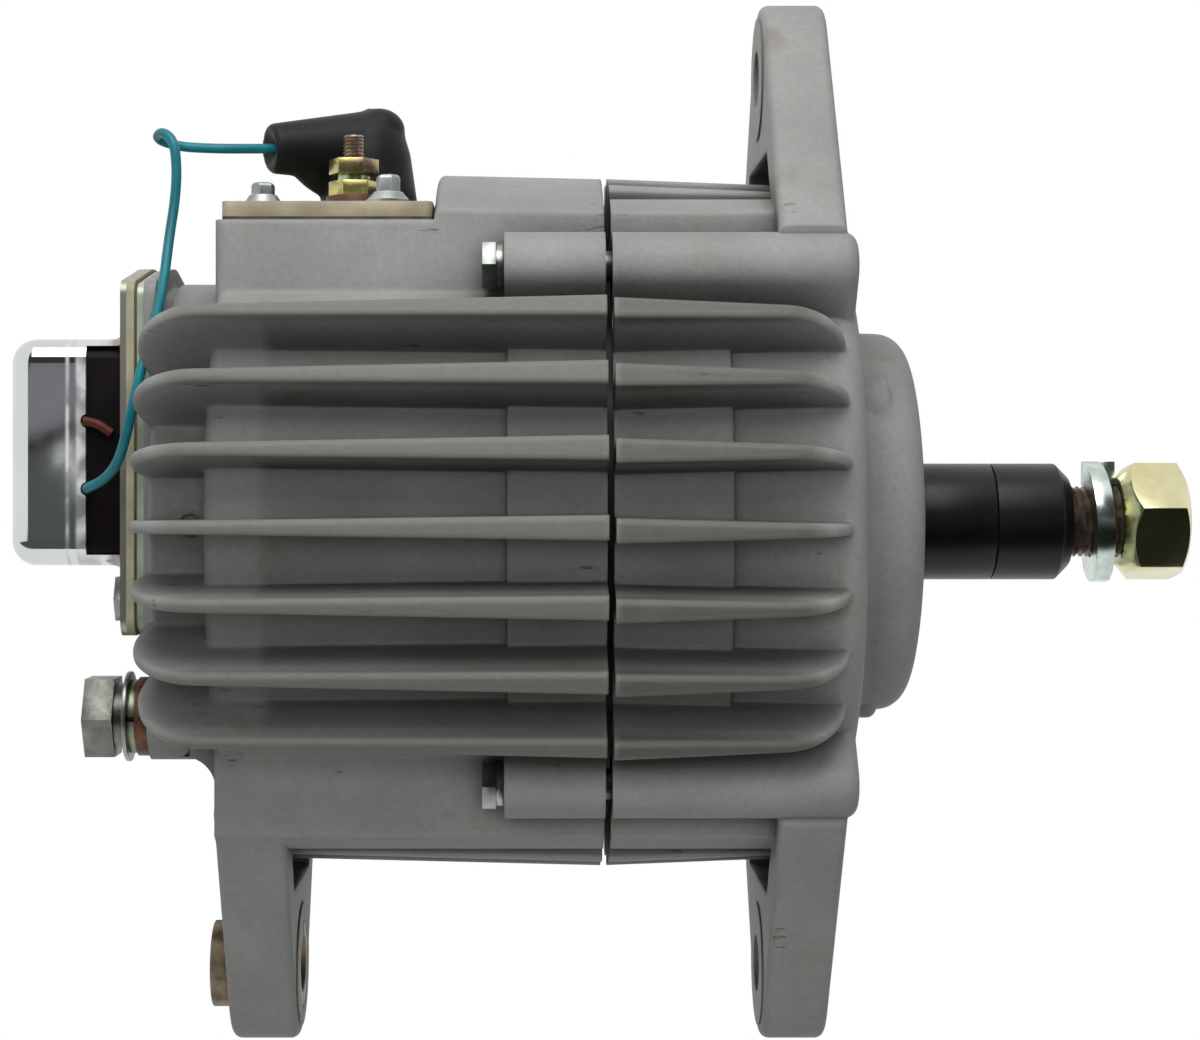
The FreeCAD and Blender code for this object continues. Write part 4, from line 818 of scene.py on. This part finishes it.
# Yellow chromate over zinc: a glossy pale gold, almost white where its edges are rubbed.
yellow_zinc = surface(
    "yellow_chromate_zinc", "#dfdbb6", "#cdc698", metallic=1.0, roughness=0.22,
    spread_mm=9, grain_mm=0.9, relief_mm=0.006, edge_wear_and_sheen="#efeacb",
)
finished("shaft_nut", yellow_zinc, 0.2)


# Ground terminal
# A heavy hex bolt at the lower rear, on a split washer and a flat one, which press a copper ring
# on the casting.

# Grey zinc: like the bright plate, but older, darker and rougher.
grey_zinc = surface(
    "grey_zinc_plate", "#85867f", "#63645e", metallic=1.0, roughness=0.4, uneven=0.1,
    spread_mm=5, grain_mm=0.8, relief_mm=0.03,
)
finished("ground_bolt", grey_zinc, 0.3)

# Green-tinged zinc: a thin chromate film that turns a grey metal slightly green.
green_tinged_zinc = surface(
    "green_tinged_zinc", "#8b957f", "#616a59", metallic=1.0, roughness=0.38,
    spread_mm=4, grain_mm=0.7, relief_mm=0.02,
)
finished("ground_lock_washer", green_tinged_zinc, 0.12)
finished("ground_washer", bright_zinc, 0.12)

# Browned copper: dark and red-brown, with half of the metal's gloss lost to its oxide.
browned_copper = surface(
    "browned_copper", "#6b4634", "#3e281c", metallic=0.6, roughness=0.45,
    spread_mm=3, grain_mm=0.6, relief_mm=0.02,
)
finished("ground_contact_ring", browned_copper, 0.12)


# Terminal plate
# A rolled aluminium plate on a brown fibre gasket closes the opening in the pad. Fibre bushes
# keep the two studs off it.

# Chromated aluminium: yellowish and matte, with only a trace of metal.
plate_metal = surface(
    "plate_aluminium", "#b0a68c", "#948a74", metallic=0.2, roughness=0.5, uneven=0.08,
    spread_mm=9, grain_mm=0.6, relief_mm=0.03,
)
finished("terminal_plate", plate_metal, 0.25)

# Gasket fibre: brown, dry and without gloss.
gasket_fibre = surface(
    "gasket_fibre", "#5d523f", "#3f392b", metallic=0.0, roughness=0.8,
    spread_mm=5, grain_mm=0.5, relief_mm=0.05,
)
finished("terminal_gasket", gasket_fibre)

# Hard fibre: red-brown, with a dull polish.
insulator_fibre = surface(
    "insulator_fibre", "#5c3a2a", "#40281d", metallic=0.0, roughness=0.5,
    spread_mm=4, grain_mm=0.5, relief_mm=0.02,
)
finished("stud_insulators", insulator_fibre, 0.2)


# Terminal screws
# Four hex screws in zinc hold the plate down. They are cold-headed, with a wide coned flange and a
# small head, whose top is rounded over.

# Dull zinc plate: pale and blurred, and brighter along the edges that tools have rubbed.
dull_zinc = surface(
    "dull_zinc_plate", "#b2b7b3", "#8f9692", metallic=1.0, roughness=0.42, uneven=0.1,
    spread_mm=4, grain_mm=0.8, relief_mm=0.02, edge_wear_and_sheen="#d4d8d4",
)
screws_low, screws_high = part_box("terminal_screws")
plate_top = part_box("terminal_plate")[1].z
solid_flange_r = 5 * MM  # the CAD screws' centres lie this far inside their box
rear_x = screws_low.x + solid_flange_r
front_x = screws_high.x - solid_flange_r
rear_y = 20 * MM
front_y = screws_high.y - solid_flange_r
rim_height = 0.7 * MM
rim_step = 0.2 * MM
cone_top_r = 3.0 * MM
head_r = 2.6 * MM
head_rounding = 0.9 * MM
shank_r = 1.85 * MM
# Each screw's x and y, its head's turn, its flange's radius, and how far up its head starts.
screw_places = [
    (rear_x, -rear_y, 12, 4.9, 3.3),
    (rear_x, rear_y, 29, 4.9, 3.3),
    (front_x, -front_y, 41, 4.7, 2.4),
    (front_x, front_y, 58, 4.7, 2.4),
]
screws = []
for x, y, turn_deg, flange_mm, head_from_mm in screw_places:
    flange_r = flange_mm * MM
    head_from = plate_top + head_from_mm * MM
    bpy.ops.object.select_all(action="DESELECT")
    bpy.ops.mesh.primitive_cylinder_add(
        vertices=40, radius=flange_r, depth=rim_height, location=(x, y, plate_top + rim_height / 2)
    )
    flange = placed()
    cone_height = head_from - plate_top - rim_height
    bpy.ops.mesh.primitive_cone_add(
        vertices=40,
        radius1=flange_r - rim_step,
        radius2=cone_top_r,
        depth=cone_height,
        location=(x, y, plate_top + rim_height + cone_height / 2),
    )
    cone = placed()
    head_height = screws_high.z - head_from
    bpy.ops.mesh.primitive_cylinder_add(vertices=6, radius=head_r, depth=head_height)
    head = bpy.context.object
    bpy.ops.object.mode_set(mode="EDIT")
    bpy.ops.mesh.select_mode(type="FACE")
    bpy.ops.mesh.select_all(action="DESELECT")
    bpy.ops.object.mode_set(mode="OBJECT")
    for polygon in head.data.polygons:
        polygon.select = polygon.normal.z > 0.9
    bpy.ops.object.mode_set(mode="EDIT")
    bpy.ops.mesh.bevel(offset=head_rounding, segments=4)
    bpy.ops.mesh.select_all(action="SELECT")
    bpy.ops.transform.rotate(
        value=math.radians(turn_deg), orient_axis="Z", center_override=(0, 0, 0)
    )
    bpy.ops.object.mode_set(mode="OBJECT")
    head.location = (x, y, head_from + head_height / 2)
    placed()
    bpy.ops.mesh.primitive_cylinder_add(
        vertices=24,
        radius=shank_r,
        depth=plate_top - screws_low.z,
        location=(x, y, (plate_top + screws_low.z) / 2),
    )
    shank = placed()
    joined(flange, cone, head, shank)
    screws.append(flange)
joined(*screws)
terminal_screws = screws[0]
terminal_screws.name = "flanged_terminal_screws"
bpy.ops.object.shade_smooth_by_angle(angle=math.radians(30))
terminal_screws.data.materials.append(dull_zinc)
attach(terminal_screws, "housing")
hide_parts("terminal_screws")


# Small terminal
# A stud with a rolled thread of 32 turns to the inch, which stands free above its two nuts and
# their split washer. All are chromated zinc, with a film that is thin and uneven.

# Browned zinc: a dull metal with brown in the thread.
browned_zinc = surface(
    "browned_zinc", "#ab9a8e", "#7d6c60", metallic=1.0, roughness=0.36, uneven=0.1,
    spread_mm=2, grain_mm=0.5, relief_mm=0.02,
)
stud = finished("auxiliary_stud", browned_zinc)
stud_low, stud_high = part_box("auxiliary_stud")
stud_centre = (stud_low + stud_high) / 2
nuts_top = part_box("auxiliary_nuts")[1].z
stud_pitch = 25.4 / 32 * MM
stud_r = 2.413 * MM
stud_core_r = 2.1 * MM
drawn_in(
    stud,
    stud_centre,
    axis=2,
    low=nuts_top,
    high=stud_high.z - 0.1 * MM,
    from_r=2.3 * MM,
    to_r=stud_core_r,
)
stud_thread = ridge(
    stud_pitch,
    stud_r,
    turns=int((stud_high.z - 0.3 * MM - nuts_top) / stud_pitch),
    start=(stud_centre.x, stud_centre.y, nuts_top + 0.2 * MM),
    axis="Z",
    look=browned_zinc,
)
joined(stud, stud_thread)

# Thin chromate: glossy, with patches of yellow-green and of pinkish brown.
thin_chromate = surface(
    "thin_chromate_zinc", "#d4d27c", "#967e6a", metallic=1.0, roughness=0.27,
    spread_mm=8, grain_mm=0.7, relief_mm=0.005,
)
finished("auxiliary_nuts", thin_chromate, 0.15)

# Green chromate: the same film on the washer, where it looks pale green.
green_chromate = surface(
    "green_chromate_zinc", "#c3d0a4", "#8c9a74", metallic=1.0, roughness=0.3,
    spread_mm=3, grain_mm=0.7, relief_mm=0.02,
)
finished("auxiliary_lock_washer", green_chromate, 0.1)


# Output terminal
# A stud with two nuts and the lead's eye, under a boot of moulded black rubber that is drawn out
# to the rear. A thick lip stands round the lead, and a web under the leg keeps it from folding.
dress(yellow_zinc, "output_stud", "output_nuts")
dress(bright_zinc, "lead_terminal")

# Moulded rubber: a soft black with hardly a highlight, and a painted grey sheen where it
# bends sharply.
moulded_rubber = surface(
    "moulded_rubber", "#141616", "#0c0d0d", metallic=0.0, roughness=0.5, gloss=0.22,
    spread_mm=12, grain_mm=0.6, relief_mm=0.03, edge_wear_and_sheen="#3c403f",
)
boot = finished("rubber_boot", moulded_rubber)
leg_end = Vector((-143.2, -4.5, 83.1)) * MM
leg_turn = Vector((0.904, 0.422, 0.066)).to_track_quat("Z", "Y").to_euler()
bpy.ops.object.select_all(action="DESELECT")
bpy.ops.mesh.primitive_torus_add(
    location=leg_end,
    rotation=leg_turn,
    major_segments=56,
    minor_segments=16,
    major_radius=4.3 * MM,
    minor_radius=1.45 * MM,
)
lip = placed()
web_and_crown = []
for centre_mm, turn_deg, radii_mm in (
    ((-134.6, 0.6, 78.3), (0, 36, 25), (8.6, 4.6, 3.8)),
    ((-120.6, 5, 88.4), (0, 0, 0), (6.0, 6.0, 5.1)),
):
    bpy.ops.mesh.primitive_uv_sphere_add(
        segments=32,
        ring_count=16,
        radius=1 * MM,
        location=[v * MM for v in centre_mm],
        rotation=[math.radians(v) for v in turn_deg],
    )
    web_and_crown.append(placed(radii_mm))
joined(boot, lip, *web_and_crown)
skin = boot.modifiers.new("skin", "REMESH")
skin.mode = "VOXEL"
skin.voxel_size = 0.55 * MM
bpy.ops.object.modifier_apply(modifier="skin")
flow = boot.modifiers.new("flow", "SMOOTH")
flow.factor = 0.5
flow.iterations = 16
bpy.ops.object.modifier_apply(modifier="flow")
bpy.ops.object.shade_smooth()
boot.data.materials.clear()
boot.data.materials.append(moulded_rubber)


# Regulator
# An aluminium adapter, a fibre gasket and a tan laminated board, held to the hub by hex screws
# in bright zinc.
finished("regulator_screws", bright_zinc, 0.15)
finished("regulator_gasket", gasket_fibre)

# Adapter aluminium: pale and greenish, with a soft metal gloss.
adapter_metal = surface(
    "adapter_aluminium", "#b0b8a9", "#8d9484", metallic=0.3, roughness=0.42, uneven=0.08,
    spread_mm=9, grain_mm=0.6, relief_mm=0.03,
)
finished("regulator_adapter", adapter_metal)

# Laminated board: tan and matte, with the faint mottle of its fibres.
laminated_board = surface(
    "laminated_board", "#a9a58a", "#8e8b72", metallic=0.0, roughness=0.6, uneven=0.08,
    spread_mm=7, grain_mm=0.5, relief_mm=0.03,
)
finished("regulator_plate", laminated_board, 0.15)


# Regulator cover
# A box stamped from sheet and plated bright. Beside its cut end the plating is scuffed in two
# strips. The open side shows the black potting, with a short end of a red lead in it.
def bright_stamping():
    """Bright plate mirrors the room, clear on the box and blurred and greyer on the flange."""
    look = bpy.data.materials.new("bright_plated_stamping")
    look.use_nodes = True
    tree = look.node_tree
    shader = tree.nodes["Principled BSDF"]
    place = add(tree, "ShaderNodeTexCoord").outputs["Object"]
    wave_size, haze_size, break_size = 22 * MM, 3 * MM, 7 * MM
    drift = add(
        tree, "ShaderNodeTexNoise", {"Vector": place, "Scale": 1 / wave_size, "Detail": 1.0}
    )
    tone = add(
        tree,
        "ShaderNodeMix",
        {"Factor": drift.outputs["Fac"], "A": linear("#c3c6c4"), "B": linear("#dadedb")},
        data_type="RGBA",
    )
    along = add(tree, "ShaderNodeSeparateXYZ", {"Vector": place}).outputs["X"]
    flange_x, flange_full_x = -177.0 * MM, -175.5 * MM
    flange = add(
        tree,
        "ShaderNodeMapRange",
        {"Value": along, "From Min": flange_x, "From Max": flange_full_x},
    )
    greyed = add(
        tree,
        "ShaderNodeMix",
        {"Factor": flange.outputs["Result"], "A": tone.outputs["Result"], "B": linear("#a29f96")},
        data_type="RGBA",
    )

    # The scuffed strips: a narrow one, and a wide one that ends where the box does.
    narrow_x, narrow_full_x, narrow_end_x = -185.7 * MM, -185.0 * MM, -184.3 * MM
    wide_x, wide_full_x = -183.6 * MM, -182.7 * MM
    box_end_x, past_box_x = -178.6 * MM, -178.0 * MM
    narrow_rise, narrow_fall, wide = (
        add(
            tree,
            "ShaderNodeMapRange",
            {"Value": along, "From Min": start, "From Max": end},
            interpolation_type="SMOOTHSTEP",
        )
        for start, end in (
            (narrow_x, narrow_full_x),
            (narrow_full_x, narrow_end_x),
            (wide_x, wide_full_x),
        )
    )
    narrow = add(
        tree,
        "ShaderNodeMath",
        {0: narrow_rise.outputs["Result"], 1: narrow_fall.outputs["Result"]},
        operation="SUBTRACT",
    )
    strips = add(
        tree,
        "ShaderNodeMath",
        {0: narrow.outputs[0], 1: wide.outputs["Result"]},
        operation="ADD",
    )
    broken = add(
        tree, "ShaderNodeTexNoise", {"Vector": place, "Scale": 1 / break_size, "Detail": 2.0}
    )
    breaks = add(
        tree,
        "ShaderNodeMapRange",
        {"Value": broken.outputs["Fac"], "From Min": 0.4, "From Max": 0.6, "To Min": 0.25},
    )
    bloom = add(
        tree,
        "ShaderNodeMath",
        {0: strips.outputs[0], 1: breaks.outputs["Result"]},
        operation="MULTIPLY",
    )
    on_box = add(
        tree,
        "ShaderNodeMapRange",
        {
            "Value": along,
            "From Min": box_end_x,
            "From Max": past_box_x,
            "To Min": 1.0,
            "To Max": 0.0,
        },
    )
    scuffs = add(
        tree,
        "ShaderNodeMath",
        {0: bloom.outputs[0], 1: on_box.outputs["Result"]},
        operation="MULTIPLY",
    )
    scuffed = add(
        tree,
        "ShaderNodeMix",
        {"Factor": scuffs.outputs[0], "A": greyed.outputs["Result"], "B": linear("#e2e3e4")},
        data_type="RGBA",
    )
    tree.links.new(scuffed.outputs["Result"], shader.inputs["Base Color"])
    bare = add(
        tree,
        "ShaderNodeMapRange",
        {"Value": scuffs.outputs[0], "To Min": 1.0, "To Max": 0.25},
    )
    tree.links.new(bare.outputs["Result"], shader.inputs["Metallic"])

    # A light haze of handling on the box, a rough flange, and the sheet's slow waves.
    haze = add(tree, "ShaderNodeTexNoise", {"Vector": place, "Scale": 1 / haze_size, "Detail": 3.0})
    hazy = add(
        tree,
        "ShaderNodeMapRange",
        {"Value": haze.outputs["Fac"], "To Min": 0.04, "To Max": 0.12},
    )
    rough = add(
        tree,
        "ShaderNodeMath",
        {0: flange.outputs["Result"], 1: 0.4, 2: hazy.outputs["Result"]},
        operation="MULTIPLY_ADD",
    )
    tree.links.new(rough.outputs[0], shader.inputs["Roughness"])
    wave = add(
        tree,
        "ShaderNodeBump",
        {"Height": drift.outputs["Fac"], "Distance": 0.035 * MM, "Strength": 1.0},
    )
    tree.links.new(wave.outputs["Normal"], shader.inputs["Normal"])
    return look


finished("regulator_cover", bright_stamping())

# Potting compound: a warm black that swallows the light, poured and slightly lumpy.
potting = surface(
    "potting_compound", "#150c0c", "#060607", metallic=0.0, roughness=0.5, gloss=0.12,
    spread_mm=14, grain_mm=1.5, relief_mm=0.04,
)
finished("regulator_potting", potting)

# Red-brown PVC: a dull plastic, dirtied by the potting.
red_pvc = surface(
    "red_brown_pvc", "#5a2213", "#40170c", metallic=0.0, roughness=0.5, gloss=0.3,
    spread_mm=4, grain_mm=0.6, relief_mm=0.02,
)
finished("red_lead", red_pvc)


# Green lead
# A thin single-core lead in teal PVC, from the boot over the rear hub into the regulator.
# It is soft and springy, and has kept the kink where it was bent over behind the boot.

# Teal PVC: an even, strong colour with a soft line of light along it.
teal_pvc = surface(
    "teal_pvc", "#0d7c86", "#086571", metallic=0.0, roughness=0.36, gloss=0.35,
    spread_mm=12, grain_mm=0.8, relief_mm=0.01,
)
green_radius = 1.1 * MM
# Its line in mm, from inside the boot to inside the potting.
green_points = [
    (-140.80, -3.37, 83.30),
    (-149.84, -7.59, 82.64),
    (-157.4, -9.4, 82.5),
    (-164.0, -10.2, 82.8),
    (-168.6, -12.5, 84.2),
    (-166.6, -16.5, 85.4),
    (-163.6, -18.8, 83.0),
    (-162.9, -19.2, 76.5),
    (-163.3, -19.6, 69.5),
    (-164.2, -21.8, 62.0),
    (-164.5, -28.5, 50.8),
    (-165.0, -37.5, 42.0),
    (-166.7, -44.5, 32.5),
    (-168.3, -45.5, 24.5),
    (-170.3, -42.5, 18.0),
    (-172.6, -38.6, 12.6),
    (-176.4, -34.6, 9.0),
    (-180.7, -31.6, 7.4),
    (-180.7, -27.2, 7.4),
]
green_line = bpy.data.curves.new("green_lead_line", "CURVE")
green_line.dimensions = "3D"
green_line.resolution_u = 12
green_line.bevel_depth = green_radius
green_line.bevel_resolution = 5
green_line.use_fill_caps = True
green_spline = green_line.splines.new("NURBS")
green_spline.points.add(len(green_points) - 1)
for point, at in zip(green_spline.points, green_points):
    point.co = (at[0] * MM, at[1] * MM, at[2] * MM, 1.0)
green_spline.order_u = 3
green_spline.use_endpoint_u = True
green_cord = bpy.data.objects.new("green_lead_insulation", green_line)
scene.collection.objects.link(green_cord)
green_line.materials.append(teal_pvc)
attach(green_cord, "housing")
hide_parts("green_lead")
